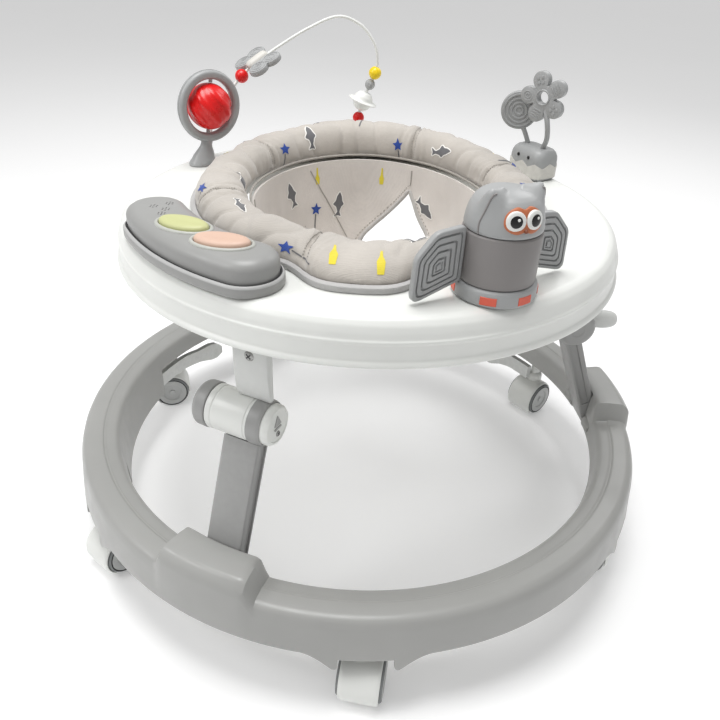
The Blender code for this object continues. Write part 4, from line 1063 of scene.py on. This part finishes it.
# Motif, azimuth, place on the surface (theta on the pad, height on the bag), turn.
ON_PAD = (("fish", 119.5, 126.0, 88.0), ("fish", 50.0, 140.0, 12.0), ("fish", -178.0, 150.0, 50.0),
          ("fish", -144.0, 92.0, -20.0), ("star", 136.0, 140.0, -12.0),
          ("star", 74.0, 142.0, 10.0), ("star", -116.0, 20.0, 78.0), ("star", -4.0, 84.0, 170.0),
          ("stick", 93.0, 98.0, -20.0), ("spade", -101.5, 42.0, 4.0), ("spade", -89.5, 33.0, -3.0),
          ("brush", 32.0, 46.0, 20.0), ("brush", 160.0, 54.0, -20.0), ("fish", 96.0, 40.0, 70.0),
          ("star", 116.0, 44.0, 30.0), ("brush", 76.0, 42.0, 0.0), ("fish", -30.0, 60.0, 20.0),
          ("star", -166.0, 44.0, 30.0), ("fish", -77.0, 118.0, -50.0),
          ("stick", 60.0, 46.0, 30.0), ("star", 20.0, 50.0, -10.0), ("fish", 142.0, 50.0, 10.0))
ON_BAG = (("fish", 137.0, 0.352, 104.0), ("fish", 106.0, 0.331, 84.0),
          ("fish", 53.0, 0.336, -38.0), ("star", 121.0, 0.329, -8.0),
          ("brush", 119.0, 0.368, 0.0), ("brush", 81.0, 0.366, 0.0),
          ("fish", 20.0, 0.310, 70.0), ("star", -10.0, 0.330, 10.0), ("brush", -40.0, 0.320, 0.0),
          ("fish", -80.0, 0.330, -70.0), ("star", -120.0, 0.310, 8.0),
          ("fish", 165.0, 0.300, 60.0), ("brush", -160.0, 0.330, 0.0))


def filled(outline):
    """A flat outline as small triangles."""
    longest = 0.0025
    bm = bmesh.new()
    bm.faces.new([bm.verts.new((x, y, 0.0)) for x, y in outline])
    bmesh.ops.triangulate(bm, faces=bm.faces)
    for _ in range(4):
        long = [e for e in bm.edges if e.calc_length() > longest]
        if not long:
            break
        bmesh.ops.subdivide_edges(bm, edges=long, cuts=1)
        bmesh.ops.triangulate(bm, faces=bm.faces)
    points = [v.co.copy() for v in bm.verts]
    bm.verts.index_update()
    faces = [tuple(v.index for v in f.verts) for f in bm.faces]
    bm.free()
    return points, faces


def prints(pad_tree, bag_tree):
    """Motifs printed on the cloth, laid on its surface, one piece for each ink."""
    inks = {}
    for table, tree, surface in ((ON_PAD, pad_tree, "pad"), (ON_BAG, bag_tree, "bag")):
        for kind, azimuth, place, spin in table:
            c, s = math.cos(math.radians(spin)), math.sin(math.radians(spin))
            for level, (ink, outline) in enumerate(MOTIFS[kind]):
                points, faces = filled(outline)
                placed = []
                for p in points:
                    u, v = p.x * c - p.y * s, p.x * s + p.y * c
                    lift = 0.00035 + 0.00018 * level
                    if surface == "pad":
                        far = -1.0 if math.sin(math.radians(azimuth)) > 0 else 1.0
                        at = on_pad(tree, azimuth + far * math.degrees(u / 0.160),
                                    place + far * math.degrees(v / 0.034), lift)
                    else:
                        at = on_bag(tree, azimuth - math.degrees(u / sling_radius(place)),
                                    place + v, lift)
                    placed.append(at)
                kept = [f for f in faces if all(placed[i] is not None for i in f)]
                kept = [f for f in kept if all((placed[a] - placed[b]).length < 0.012
                                               for a, b in zip(f, f[1:] + f[:1]))]
                used = sorted({i for f in kept for i in f})
                index = {old: new for new, old in enumerate(used)}
                geo = ([placed[i] for i in used], [tuple(index[i] for i in f) for f in kept],
                       [0] * len(kept))
                inks.setdefault(ink.name, (ink, []))[1].append(geo)
    for name, (ink, geos) in sorted(inks.items()):
        piece(name, joined(*geos), [ink], "tray", "seat_cloth", sharp=180.0)


# ------------------------------------------------------------------ music panel
def bean(half_width, height):
    """The panel's outline at a height: a stretch of ring with round ends."""
    start, stop = PANEL_AZIMUTH - PANEL_SPAN, PANEL_AZIMUTH + PANEL_SPAN
    points = [polar(PANEL_RADIUS + half_width, start + (stop - start) * i / 40, height)
              for i in range(41)]
    centre = polar(PANEL_RADIUS, stop, height)
    points += [centre + polar(half_width, stop + 180.0 * i / 20) for i in range(1, 20)]
    points += [polar(PANEL_RADIUS - half_width, stop + (start - stop) * i / 40, height)
               for i in range(41)]
    centre = polar(PANEL_RADIUS, start, height)
    points += [centre + polar(half_width, start + 180.0 + 180.0 * i / 20) for i in range(1, 20)]
    return points


def rim_oval(grow, azimuth, height):
    """A button's oval on the panel, grown by a distance."""
    place = turn(azimuth) @ shift(BUTTON_REACH, 0, height) @ turn(90.0 + BUTTON_TURN)
    return [place @ Vector((x, y, 0.0))
            for x, y in oval(BUTTON_HALF[0] + grow, BUTTON_HALF[1] + grow, 56)]


def music_panel():
    """The panel with its speaker holes, two pockets, their rims and the two buttons."""
    w, z = PANEL_HALF, ON_TRAY
    # Mark 1 paints the bead round the skirt's top lighter, a painted highlight; mark 2 paints the
    # small groove inside it dark, a painted shade.
    rows = ((w - 0.0006, 0.0, 0), (w, 0.0010, 0), (w, 0.0080, 0), (w - 0.0008, 0.0095, 1),
            (w - 0.0022, 0.0102, 1), (w - 0.0040, 0.0100, 2), (w - 0.0044, 0.0092, 2),
            (w - 0.0048, 0.0100, 0), (w - 0.0040, 0.0135, 0), (w - 0.0042, 0.0200, 0),
            (w - 0.0050, 0.0225, 0), (w - 0.0068, 0.0250, 0), (w - 0.0100, 0.0272, 0),
            (w - 0.0130, 0.0282, 0), (w - 0.0170, 0.0285, 0))
    geo = skin([bean(half, z + h) for half, h, _ in rows], marks=[m for _, _, m in rows[1:]])
    panel = make("sound_panel", geo, [PANEL, PANEL_BEAD_LIT, RECESS_SHADE])
    pockets = [skin([rim_oval(0.0004, azimuth, z + h) for h in (POCKET_FLOOR, 0.040)])
               for azimuth in BUTTONS.values()]
    holes = []
    for azimuth, reach in ((-152.6, 0.2290), (-149.6, 0.2215), (-153.0, 0.2140),
                           (-147.4, 0.2285)):
        centre = turn(azimuth) @ shift(reach, 0, z)
        for ring, count in ((0.0, 1), (0.0032, 6)):
            for i in range(count):
                spot = centre @ polar(ring, 360.0 * i / count)
                holes.append(moved(lathe([(0.0, 0.024), (0.0008, 0.024), (0.0008, 0.032),
                                          (0.0, 0.032)], 10), shift(spot.x, spot.y, z)))
    carve(panel, *pockets, joined(*holes))
    fit(panel, "tray", "toy_grey", "music_panel")
    rows = ((0.0006, 0.0278), (0.0008, 0.0296), (0.0016, 0.0303), (0.0030, 0.0301),
            (0.0040, 0.0291), (0.0042, 0.0278))
    rims = [skin([rim_oval(grow, azimuth, z + h) for grow, h in rows], wrap=True)
            for azimuth in BUTTONS.values()]
    piece("button_rims", joined(*rims), [RIM], "tray", "toy_grey")
    rows = ((0.0, 0.0), (0.0, 0.0068), (-0.0005, 0.0080), (-0.0016, 0.0090),
            (-0.0034, 0.0097), (-0.0060, 0.0101), (-0.0085, 0.0099), (-0.0110, 0.0095))
    foot = z + POCKET_FLOOR + BUTTON_TRAVEL + GAP
    for key, mat in (("lime", LIME), ("peach", PEACH)):
        key_top = skin([rim_oval(grow, BUTTONS[key], foot + h) for grow, h in rows])
        piece("key_" + key, key_top, [mat], "button_" + key, key + "_plastic", "button_" + key)


# ------------------------------------------------------------------ ring rattle
def rattle():
    """A hoop on a foot, with a ribbed ball that turns on two pins inside it."""
    place = (shift(*polar(RATTLE_REACH, RATTLE_AZIMUTH, RATTLE_HEIGHT))
             @ turn(RATTLE_FACING + 90.0) @ tilt(8.0, "Y"))
    outer, inner, half = 0.0400, 0.0300, 0.0055
    section = eased([(outer, -0.0030), (outer, 0.0030), (outer - 0.0022, half),
                     (inner + 0.0022, half), (inner, 0.0030), (inner, -0.0030),
                     (inner + 0.0022, -half), (outer - 0.0022, -half)], 0.0016)
    hoop = moved(lathe(section, 96, closed=True), place @ tilt(90.0, "X"))
    seam = moved(lathe([(outer + 0.00035, -0.0005), (outer + 0.00035, 0.0005),
                        (outer - 0.001, 0.0005), (outer - 0.001, -0.0005)], 96, closed=True),
                 place @ tilt(90.0, "X"))
    neck = place @ Vector((0.0, 0.0, -outer + 0.004))
    foot = polar(RATTLE_REACH + 0.004, RATTLE_AZIMUTH + 4.0, ON_TRAY)
    layers = []
    rows = ((0.0, 0.0150, 0.0120), (0.04, 0.0158, 0.0128), (0.16, 0.0156, 0.0126),
            (0.22, 0.0144, 0.0114), (0.36, 0.0132, 0.0102), (0.5, 0.0110, 0.0085),
            (0.62, 0.0088, 0.0070), (0.72, 0.0074, 0.0060), (0.86, 0.0072, 0.0052),
            (1.0, 0.0084, 0.0050))
    for t, half_x, half_y in rows:
        centre = foot.lerp(neck, t)
        layers.append([shift(*centre) @ turn(RATTLE_FACING + 90.0) @ Vector((x, y, 0.0))
                       for x, y in oval(half_x, half_y, 40)])
    pins = [moved(rod([Vector((0, 0, z0)), Vector((0, 0, z1))], 0.0022, 16), place)
            for z0, z1 in ((-inner - 0.001, -0.0265), (0.0265, inner + 0.001))]
    piece("rattle_hoop", joined(hoop, seam, skin(layers), *pins), [TOY], "tray", "toy_grey",
          "rattle_ring")
    rows, steps, radius = 40, 96, 0.0258
    layers = [[(0.0, 0.0, radius)]]
    for j in range(1, rows):
        lat = math.pi * j / rows
        loop = []
        for i in range(steps):
            angle = 2 * math.pi * i / steps
            wave = math.cos(6 * (angle + 1.15 * math.cos(lat)))
            swell = radius * 0.965 + 0.0013 * math.sin(lat) ** 0.7 * (
                1 if wave > 0.35 else -0.35 if wave < 0.05 else (wave - 0.05) * 4.5 - 0.35)
            loop.append((swell * math.sin(lat) * math.cos(angle),
                         swell * math.sin(lat) * math.sin(angle), radius * math.cos(lat)))
        layers.append(loop)
    layers.append([(0.0, 0.0, -radius)])
    piece("rattle_core", moved(skin(layers), place), [RED], "rattle_ball", "red_plastic",
          "rattle_ball", sharp=80.0)


# ------------------------------------------------------------------ arch wire and beads
PER_SPAN = 8
ARCH_PATH = smooth_path([polar(r, a, z) for a, r, z in ARCH], PER_SPAN)


def facing(place, way):
    """A frame at a place with its Z along a direction."""
    return shift(*place) @ way.to_track_quat("Z", "Y").to_matrix().to_4x4()


def arch_place(index):
    """A frame on the wire, at a fractional index of ARCH."""
    i = int(index * PER_SPAN)
    return facing(ARCH_PATH[i], (ARCH_PATH[i + 1] - ARCH_PATH[i - 1]).normalized())


def arch():
    points = [polar(r, a, z) for a, r, z in ARCH]
    points[0] += Vector((0, 0, 0.0016))
    points[-1] += Vector((0, 0, 0.0008))
    path = smooth_path(points, 10)
    ferrules = []
    for end, top in ((0, 0.0085), (-1, 0.0100)):
        foot = Vector((points[end].x, points[end].y, ON_TRAY))
        profile = [(0.0070, 0.0), (0.0072, 0.0020), (0.0048, 0.0042), (0.0042, top),
                   (0.0030, top + 0.0010)]
        ferrules.append(moved(turned(profile, 0.0012, 32), shift(*foot)))
    piece("toy_wire", joined(rod(path, WIRE_RADIUS, 16), *ferrules), [WHITE], "tray",
          "white_plastic", "arch_wire")


def round_bead(name, index, radius, mat, slot, faceted=False):
    start = math.asin(BEAD_BORE / radius)
    rows = 5 if faceted else 20
    profile = [(radius * math.sin(start + (math.pi - 2 * start) * i / rows),
                radius * math.cos(start + (math.pi - 2 * start) * i / rows))
               for i in range(rows + 1)]
    if not faceted:
        profile[10] = (profile[10][0] * 1.012, profile[10][1])     # a fine moulding line
    geo = lathe(profile, 10 if faceted else 48, closed=True)
    piece(name + "_ball", moved(geo, arch_place(index)), [mat], name, slot, name,
          sharp=10.0 if faceted else 60.0)


def beads():
    round_bead("bead_red_left", 2.88, 0.0080, RED, "red_plastic")
    round_bead("bead_yellow", 11.0, 0.0080, YELLOW, "yellow_plastic")
    round_bead("bead_grey", 11.85, 0.0068, TOY, "toy_grey", faceted=True)
    round_bead("bead_red_right", 13.75, 0.0075, RED, "red_plastic")
    profile = eased([(BEAD_BORE, 0.0120), (0.0060, 0.0118), (0.0100, 0.0085), (0.0125, 0.0030),
                     (0.0135, 0.0018), (0.0190, 0.0010), (0.0190, -0.0004), (0.0138, -0.0012),
                     (0.0128, -0.0022), (0.0115, -0.0060), (0.0080, -0.0105),
                     (BEAD_BORE, -0.0120)], 0.0012)
    piece("saucer", moved(lathe(profile, 64, closed=True), arch_place(12.8)), [WHITE],
          "bead_saucer", "white_plastic", "bead_saucer")


def star_outline(centres, petal_radius, core_radius, steps):
    """An outline round a core and petals, whose centres are (angle, distance)."""
    outline = []
    for i in range(steps):
        angle, reach = 360.0 * i / steps, core_radius
        for petal_angle, distance in centres:
            off = math.radians(angle - petal_angle)
            inside = petal_radius ** 2 - (distance * math.sin(off)) ** 2
            if inside > 0 and math.cos(off) > 0:
                reach = max(reach, distance * math.cos(off) + math.sqrt(inside))
        outline.append((reach * math.cos(math.radians(angle)),
                        reach * math.sin(math.radians(angle))))
    return outline


def spiral(radius, turns, thick, z):
    path = [Vector((radius * (0.15 + 0.85 * t) * math.cos(2 * math.pi * turns * t),
                    radius * (0.15 + 0.85 * t) * math.sin(2 * math.pi * turns * t), z))
            for t in (i / 60 for i in range(61))]
    return rod(path, thick, 8)


def butterfly():
    centres = [(28.0, 0.021), (-28.0, 0.021), (152.0, 0.021), (-152.0, 0.021)]
    parts = [slab(star_outline(centres, 0.0120, 0.0085, 180), 0.0064, 0.0012)]
    for number, (angle, distance) in enumerate(centres):
        for side in (-1, 1):
            z = side * 0.0032
            at = polar(distance, angle)
            parts.append(moved(torus(0.0094, 0.0008, 40, 8), shift(at.x, at.y, z)))
            if number % 2:
                parts.append(moved(spiral(0.0068, 2.2, 0.0006, 0.0), shift(at.x, at.y, z)))
            else:
                parts.append(moved(torus(0.0055, 0.0007, 36, 8), shift(at.x, at.y, z)))
                parts.append(moved(dome(0.0022, 0.0008, 20, 4), shift(at.x, at.y, z) @ (
                    Matrix.Identity(4) if side > 0 else tilt(180.0, "X"))))
    wings = moved(joined(*parts), tilt(90.0, "X"))
    barrel = eased([(BEAD_BORE, -0.0150), (0.0052, -0.0150), (0.0072, -0.0110), (0.0076, 0.0),
                    (0.0072, 0.0110), (0.0052, 0.0150), (BEAD_BORE, 0.0150)], 0.002)
    body = lathe(barrel, 40, closed=True, mat=1)
    piece("butterfly_wings", moved(joined(wings, body), arch_place(4.2)), [TOY, PANEL_LIGHT],
          "butterfly", "toy_grey", "butterfly")


# ------------------------------------------------------------------ owl
HEAD_ROWS = ((0.0, 0.0305), (0.0010, 0.0318), (0.003, 0.0320), (0.0095, 0.0313),
             (0.0150, 0.0300), (0.0195, 0.0283), (0.0235, 0.0260), (0.0268, 0.0228),
             (0.0290, 0.0190), (0.0302, 0.0145), (0.0309, 0.0100))
HEAD_FOOT, HEAD_TOP = 0.0576, 0.0309


def head_point(angle, height, lift=0.0):
    """A point of the owl's head in its frame; two ears rise beside the crown."""
    radius = along(HEAD_ROWS, height)
    ear = max(0.0, 1.0 - away(angle, (68.0, 292.0)) / 30.0)
    ear = ear * ear * (3 - 2 * ear)
    share = math.exp(-((height - 0.0248) / 0.0058) ** 2)
    a = math.radians(angle)
    return Vector(((radius + lift) * math.cos(a),
                   (radius + lift) * math.sin(a) * (1 + 0.07 * ear * share),
                   height + HEAD_FOOT + 0.0100 * ear * share + lift * 0.3))


def owl():
    """A head with a face patch and eyes, a turning drum, a foot with toes and two wings."""
    place = turn(OWL_AZIMUTH) @ shift(OWL_REACH, 0, ON_TRAY)
    heights = [0.0, 0.0006, 0.0012] + [HEAD_TOP * math.sin(math.pi / 2 * i / 32)
                                       for i in range(2, 33)]
    layers = [[head_point(360.0 * i / 96, h) for i in range(96)] for h in heights]
    for r, h in ((0.0075, 0.0312), (0.0040, 0.0314)):
        layers.append([(x, y, h + HEAD_FOOT) for x, y in oval(r, r, 96)])
    layers.append([(0.0, 0.0, 0.0314 + HEAD_FOOT)])
    # Two raised lines down the ears in the darker drum grey: a real crest ridge, coloured darker as
    # painted shade along it.
    seam = [head_point(74.0 - 16.0 * t + 8.0 * math.sin(math.pi * t), 0.001 + 0.0245 * t, 0.0001)
            for t in (i / 24 for i in range(25))]
    seams = [rod(seam, 0.0007, 8, mat=1),
             rod([Vector((p.x, -p.y, p.z)) for p in seam], 0.0007, 8, mat=1)]
    piece("owl_dome", moved(joined(skin(layers), *seams), place), [TOY, DRUM], "tray", "toy_grey",
          "owl_head", sharp=60.0)
    face, rows = [], []
    spread, eye_height = 15.0, 0.0148
    for i in range(64):
        t = 2 * math.pi * i / 64
        wide = 32.0 * math.cos(t)
        tall = 0.0105 * math.copysign(abs(math.sin(t)) ** 0.8, math.sin(t))
        tall *= 1.0 - 0.22 * math.exp(-(wide / 8.0) ** 2)
        rows.append((wide + OWL_FACE, tall))
    for lift, size in ((-0.0010, 1.0), (0.0006, 1.0), (0.0012, 0.94), (0.0013, 0.7),
                       (0.0013, 0.4), (0.0013, 0.12)):
        face.append([head_point(OWL_FACE + (w - OWL_FACE) * size, eye_height + h * size, lift)
                     for w, h in rows])
    parts = [skin(face)]
    for side in (-1, 1):
        at = head_point(OWL_FACE + side * spread, eye_height, 0.0010)
        out = Vector((at.x, at.y, 0.0)).normalized() + Vector((0, 0, 0.14))
        eye = facing(at, out)
        parts.append(moved(dome(0.0078, 0.0017, 40, 8, mat=1, sink=0.0018), eye))
        parts.append(moved(dome(0.0050, 0.0009, 36, 6, mat=2, sink=0.0012),
                           eye @ shift(0.0, 0.0, 0.0011)))
        parts.append(moved(dome(0.0013, 0.0005, 16, 4, mat=1, sink=0.0006),
                           eye @ shift(0.0016, 0.0016, 0.0017)))
    beak = lathe([(0.0, -0.001), (0.0024, -0.001), (0.0020, 0.0012), (0.0008, 0.0032),
                  (0.0, 0.0036)], 20, mat=3)
    beak_at = shift(*head_point(OWL_FACE, eye_height - 0.0072, 0.0010)) @ turn(OWL_FACE)
    parts.append(moved(beak, beak_at @ tilt(100.0, "Y") @ Matrix.Scale(0.75, 4)))
    piece("owl_face", moved(joined(*parts), place), [TAN, WHITE, BLACK, BEAK], "tray",
          "toy_grey")
    drum = [(0.0312, 0.0), (0.0325, 0.0012), (0.0325, 0.0418), (0.0312, 0.0430)]
    mould = moved(slab(round_box(0.0005, 0.0400, 0.0002, 2), 0.0005, 0.0001),
                  turn(150.0) @ shift(0.0325, 0, 0.0215) @ turn(90.0) @ tilt(90.0, "X"))
    piece("owl_barrel", moved(joined(turned(drum, 0.0006, 96), mould), place @ shift(0, 0, 0.0143)),
          [DRUM], "owl_drum", "dark_grey", "owl_drum")
    foot = [(0.0335, 0.0), (0.0355, 0.0015), (0.0353, 0.0105), (0.0345, 0.0128), (0.0325, 0.0140)]
    toes = []
    for angle in (-44.0, 8.0, 60.0, 112.0, 180.0, -112.0):
        layers = []
        for lift, shrink in ((-0.0012, 0.0), (0.0002, 0.0), (0.0006, 0.5)):
            low, high = 0.0028 + shrink * 0.0008, 0.0098 - shrink * 0.0008
            across = [(-11.0 + shrink) * (1 - k / 4) + (11.0 - shrink) * k / 4 for k in range(5)]
            layers.append([polar(0.0355 + lift, angle + a, low) for a in across]
                          + [polar(0.0353 + lift, angle + a, high) for a in reversed(across)])
        toes.append(skin(layers, mat=1))
    piece("owl_base", moved(joined(turned(foot, 0.0008, 96), *toes), place), [TOY, SALMON], "tray",
          "toy_grey", "owl_foot")
    for key, sense in (("left", 1), ("right", -1)):
        owl_wing(key, sense, place)


def wing_outline():
    """A wing seen from the front, each corner with its own rounding."""
    corners = [(0.0, -0.016, 0.004), (0.047, -0.029, 0.007), (0.045, 0.010, 0.014),
               (0.027, 0.029, 0.013), (0.0, 0.031, 0.004)]
    points = []
    for i, (x, y, radius) in enumerate(corners):
        here = Vector((x, y))
        before = (Vector(corners[i - 1][:2]) - here).normalized()
        after = (Vector(corners[(i + 1) % len(corners)][:2]) - here).normalized()
        reach = radius / math.tan(before.angle(after) / 2)
        start, stop = here + before * reach, here + after * reach
        for k in range(9):
            t = k / 8
            points.append(tuple(start * (1 - t) ** 2 + here * 2 * t * (1 - t) + stop * t * t))
    return points


def owl_wing(key, sense, place):
    """A flat wing with nested raised ridges and a boss on both sides."""
    outline = [(x * sense, y) for x, y in wing_outline()]
    centre = (0.0235 * sense, 0.0)

    def drawn(share):
        return [(centre[0] + (x - centre[0]) * share, centre[1] + (y - centre[1]) * share)
                for x, y in outline]

    rows = [(1.0, 0.0018), (0.985, 0.0026), (0.955, 0.0030)]
    for ring in (0.84, 0.64, 0.44, 0.24):
        rows += [(ring + 0.035, 0.0030), (ring + 0.02, 0.0012), (ring - 0.02, 0.0012),
                 (ring - 0.035, 0.0030)]
    rows += [(0.16, 0.0030), (0.14, 0.0020), (0.10, 0.0020), (0.085, 0.0034), (0.03, 0.0036)]
    layers = [[(x, y, -z) for x, y in drawn(share)] for share, z in reversed(rows)]
    layers += [[(x, y, z) for x, y in drawn(share)] for share, z in rows]
    stand = Matrix(((0, 0, 1, -0.006), (1, 0, 0, sense * 0.0332), (0, 1, 0, 0.0305),
                    (0, 0, 0, 1)))
    piece("wing_" + key, moved(skin(layers), place @ turn(OWL_WINGS) @ stand), [TOY], "tray",
          "toy_grey", "owl_wing_" + key, sharp=50.0)


# ------------------------------------------------------------------ flower and disc
def sprout():
    """An eggshell block with two eyes, and a flower and a ridged disc on bent stems."""
    place = turn(SPROUT_AZIMUTH) @ shift(SPROUT_REACH, 0, ON_TRAY)
    rows = ((0.0165, 0.0250, 0.009, 0.0), (0.0178, 0.0263, 0.010, 0.0020),
            (0.0180, 0.0265, 0.010, 0.0060), (0.0180, 0.0265, 0.010, 0.0230),
            (0.0175, 0.0260, 0.010, 0.0275), (0.0160, 0.0245, 0.010, 0.0315),
            (0.0138, 0.0223, 0.010, 0.0342), (0.0105, 0.0190, 0.009, 0.0355))
    layers = [[(x, y, z) for x, y in round_box(2 * hx, 2 * hy, radius, 8)]
              for hx, hy, radius, z in rows]
    block = skin(layers)
    outline, dense = round_box(0.0360, 0.0530, 0.010, 8), []
    for i, (x, y) in enumerate(outline):
        nx, ny = outline[(i + 1) % len(outline)]
        steps = max(1, int(math.hypot(nx - x, ny - y) / 0.0012))
        dense += [(x + (nx - x) * k / steps, y + (ny - y) * k / steps) for k in range(steps)]
    run, shell, heights = 0.0, [], []
    for i, (x, y) in enumerate(dense):
        px, py = dense[i - 1]
        run += math.hypot(x - px, y - py) if i else 0.0
        heights.append(0.0150 + 0.0052 * abs((run / 0.0105) % 2.0 - 1.0))
    for grow, top in ((-0.0005, False), (0.0008, False), (0.0008, True), (-0.0005, True)):
        line = inset(dense, -grow)
        shell.append([(x, y, heights[i] if top else 0.0030) for i, (x, y) in enumerate(line)])
    egg = skin(shell, wrap=True, mat=1)
    eyes = [moved(dome(0.0021, 0.0011, 24, 5, mat=2, sink=0.0006),
                  shift(-0.0180, y, 0.0252) @ tilt(-90.0, "Y")) for y in (-0.0085, 0.0085)]
    piece("sprout_egg", moved(joined(block, egg, *eyes), place), [TOY, PANEL_LIGHT, BLACK],
          "tray", "toy_grey", "sprout_block")

    lift = 0.0355 + 0.0018
    stem = smooth_path([(0.0, -0.012, lift - 0.0018), (-0.004, -0.019, lift + 0.012),
                        (-0.008, -0.019, lift + 0.030), (-0.0085, -0.0115, lift + 0.046)], 10)
    short = smooth_path([(0.0, 0.014, lift - 0.0018), (-0.004, 0.018, lift + 0.010),
                         (-0.0085, 0.021, lift + 0.019)], 10)
    centres = [(36.0 + 72.0 * i, 0.0190) for i in range(5)]
    outline = star_outline(centres, 0.0098, 0.0140, 240)
    hole = oval(0.0068, 0.0068, 240)
    layers = []
    for scale, z in ((0.94, -0.0045), (0.985, -0.0040), (1.0, -0.0028), (1.0, 0.0028),
                     (0.985, 0.0040), (0.94, 0.0045)):
        layers.append([(x * scale, y * scale, z) for x, y in outline])
    layers += [[(x, y, z) for x, y in hole] for z in (0.0045, -0.0045)]
    parts = [skin(layers, wrap=True)]
    for side in (-1, 1):
        flip = shift(0, 0, side * 0.0045) @ (Matrix.Identity(4) if side > 0 else tilt(180.0, "X"))
        parts.append(moved(torus(0.0080, 0.0011, 48, 10), shift(0, 0, side * 0.0045)))
        for number, (angle, distance) in enumerate(centres):
            at = polar(distance, angle)
            spot = shift(at.x, at.y, 0.0)
            if number % 3 == 0:
                for d in (-0.0045, -0.0015, 0.0015, 0.0045):
                    bar = slab(round_box(0.0012, 0.0105, 0.0005, 2), 0.0014, 0.0003)
                    parts.append(moved(bar, flip @ spot @ turn(angle) @ shift(d)))
            elif number % 3 == 1:
                for dx in (-0.0027, 0.0027):
                    for dy in (-0.0027, 0.0027):
                        box = slab(round_box(0.0036, 0.0036, 0.0008, 2), 0.0014, 0.0003)
                        parts.append(moved(box, flip @ spot @ turn(angle) @ shift(dx, dy)))
            else:
                parts.append(moved(spiral(0.0065, 2.0, 0.0006, 0.0), flip @ spot))
    face = tilt(90.0, "X")
    flower_at = place @ shift(-0.0085, -0.0085, lift + 0.0560) @ turn(-SPROUT_AZIMUTH - 42.0) @ face
    piece("flower_head", joined(moved(joined(*parts), flower_at),
                                moved(rod(stem, 0.0030, 20), place)), [TOY], "tray", "toy_grey",
          "flower")
    rows = [(0.0, 0.0036)]
    for r in (0.0030, 0.0075, 0.0120, 0.0165):
        rows += [(r, 0.0036), (r + 0.0006, 0.0046), (r + 0.0020, 0.0048), (r + 0.0026, 0.0036)]
    rows += [(0.0202, 0.0038), (0.0214, 0.0032), (0.0220, 0.0020)]
    profile = [(r, -z) for r, z in rows] + [(r, z) for r, z in reversed(rows)]
    disc_at = place @ shift(-0.0110, 0.0255, lift + 0.0350) @ turn(-SPROUT_AZIMUTH - 20.0) @ face
    piece("swirl_head", joined(moved(lathe(profile, 72), disc_at),
                               moved(rod(short, 0.0028, 20), place)), [TOY], "tray", "toy_grey",
          "swirl_disc")


# ------------------------------------------------------------------ studio
def studio():
    """A pale floor, an even world and three soft lamps."""
    white = (1.0, 1.0, 1.0, 1.0)
    s = Surface("floor", 0.62, Emission_Color=white, Emission_Strength=0.20)
    s.link(s.mix(s.noise(1.5, 4.0), linear((0.93,) * 3), linear((0.95,) * 3)),
           s.shader.inputs["Base Color"])
    s.bump(s.noise(220.0), 0.03, 0.0003)
    reach = 40.0
    floor = make("floor", ([(-reach, -reach, 0), (reach, -reach, 0), (reach, reach, 0),
                            (-reach, reach, 0)], [(0, 1, 2, 3)], [0]), [s.material])
    world = bpy.data.worlds.new("studio")
    world.use_nodes = True
    sky = world.node_tree.nodes["Background"].inputs
    sky["Color"].default_value, sky["Strength"].default_value = white, 0.48
    bpy.context.scene.world = world
    bpy.context.scene.view_settings.view_transform = "Standard"
    for name, place, size, power in (("top", (-0.2, 0.0, 2.2), 1.2, 31.0),
                                     ("key", (-1.5, -0.5, 1.6), 0.8, 10.0),
                                     ("rim", (1.0, 1.2, 1.5), 0.9, 5.0)):
        light = bpy.data.lights.new(name, "AREA")
        light.shape, light.size, light.energy = "DISK", size, power
        lamp = bpy.data.objects.new(name, light)
        lamp.location = place
        way = Vector((0.0, 0.0, 0.25)) - Vector(place)
        lamp.rotation_euler = way.to_track_quat("-Z", "Y").to_euler()
        bpy.context.scene.collection.objects.link(lamp)


def camera():
    """A camera near the floor's -Y side, looking down at the walker."""
    lens = bpy.data.cameras.new("camera")
    lens.lens, lens.sensor_width = 35.08, 36.0
    lens.clip_start = 0.05
    shown = bpy.data.objects.new("camera", lens)
    right, forward = Vector((0.9989, -0.0226, 0.0413)), Vector((0.0413, 0.8417, -0.5384))
    forward.normalize()
    right = (right - forward * right.dot(forward)).normalized()
    up = right.cross(forward)
    shown.matrix_world = shift(-0.0381, -0.7262, 0.6396) @ Matrix(
        (right, up, -forward)).transposed().to_4x4()
    bpy.context.scene.collection.objects.link(shown)
    bpy.context.scene.camera = shown


# ------------------------------------------------------------------ assembly
floor_ring()
keep_fittings()
for number, (where, swivel) in enumerate(zip(CASTERS, SWIVELS), 1):
    caster(number, where, swivel)
for letter, where in LEGS.items():
    leg(letter, where)
latch()
tray()
seat = seat_pad()
bag = seat_sling()
seat_tree, bag_tree = tree_of(seat), tree_of(bag)
seam_lines(seat_tree, bag_tree)
prints(seat_tree, bag_tree)
music_panel()
rattle()
arch()
beads()
butterfly()
owl()
sprout()
studio()
camera()
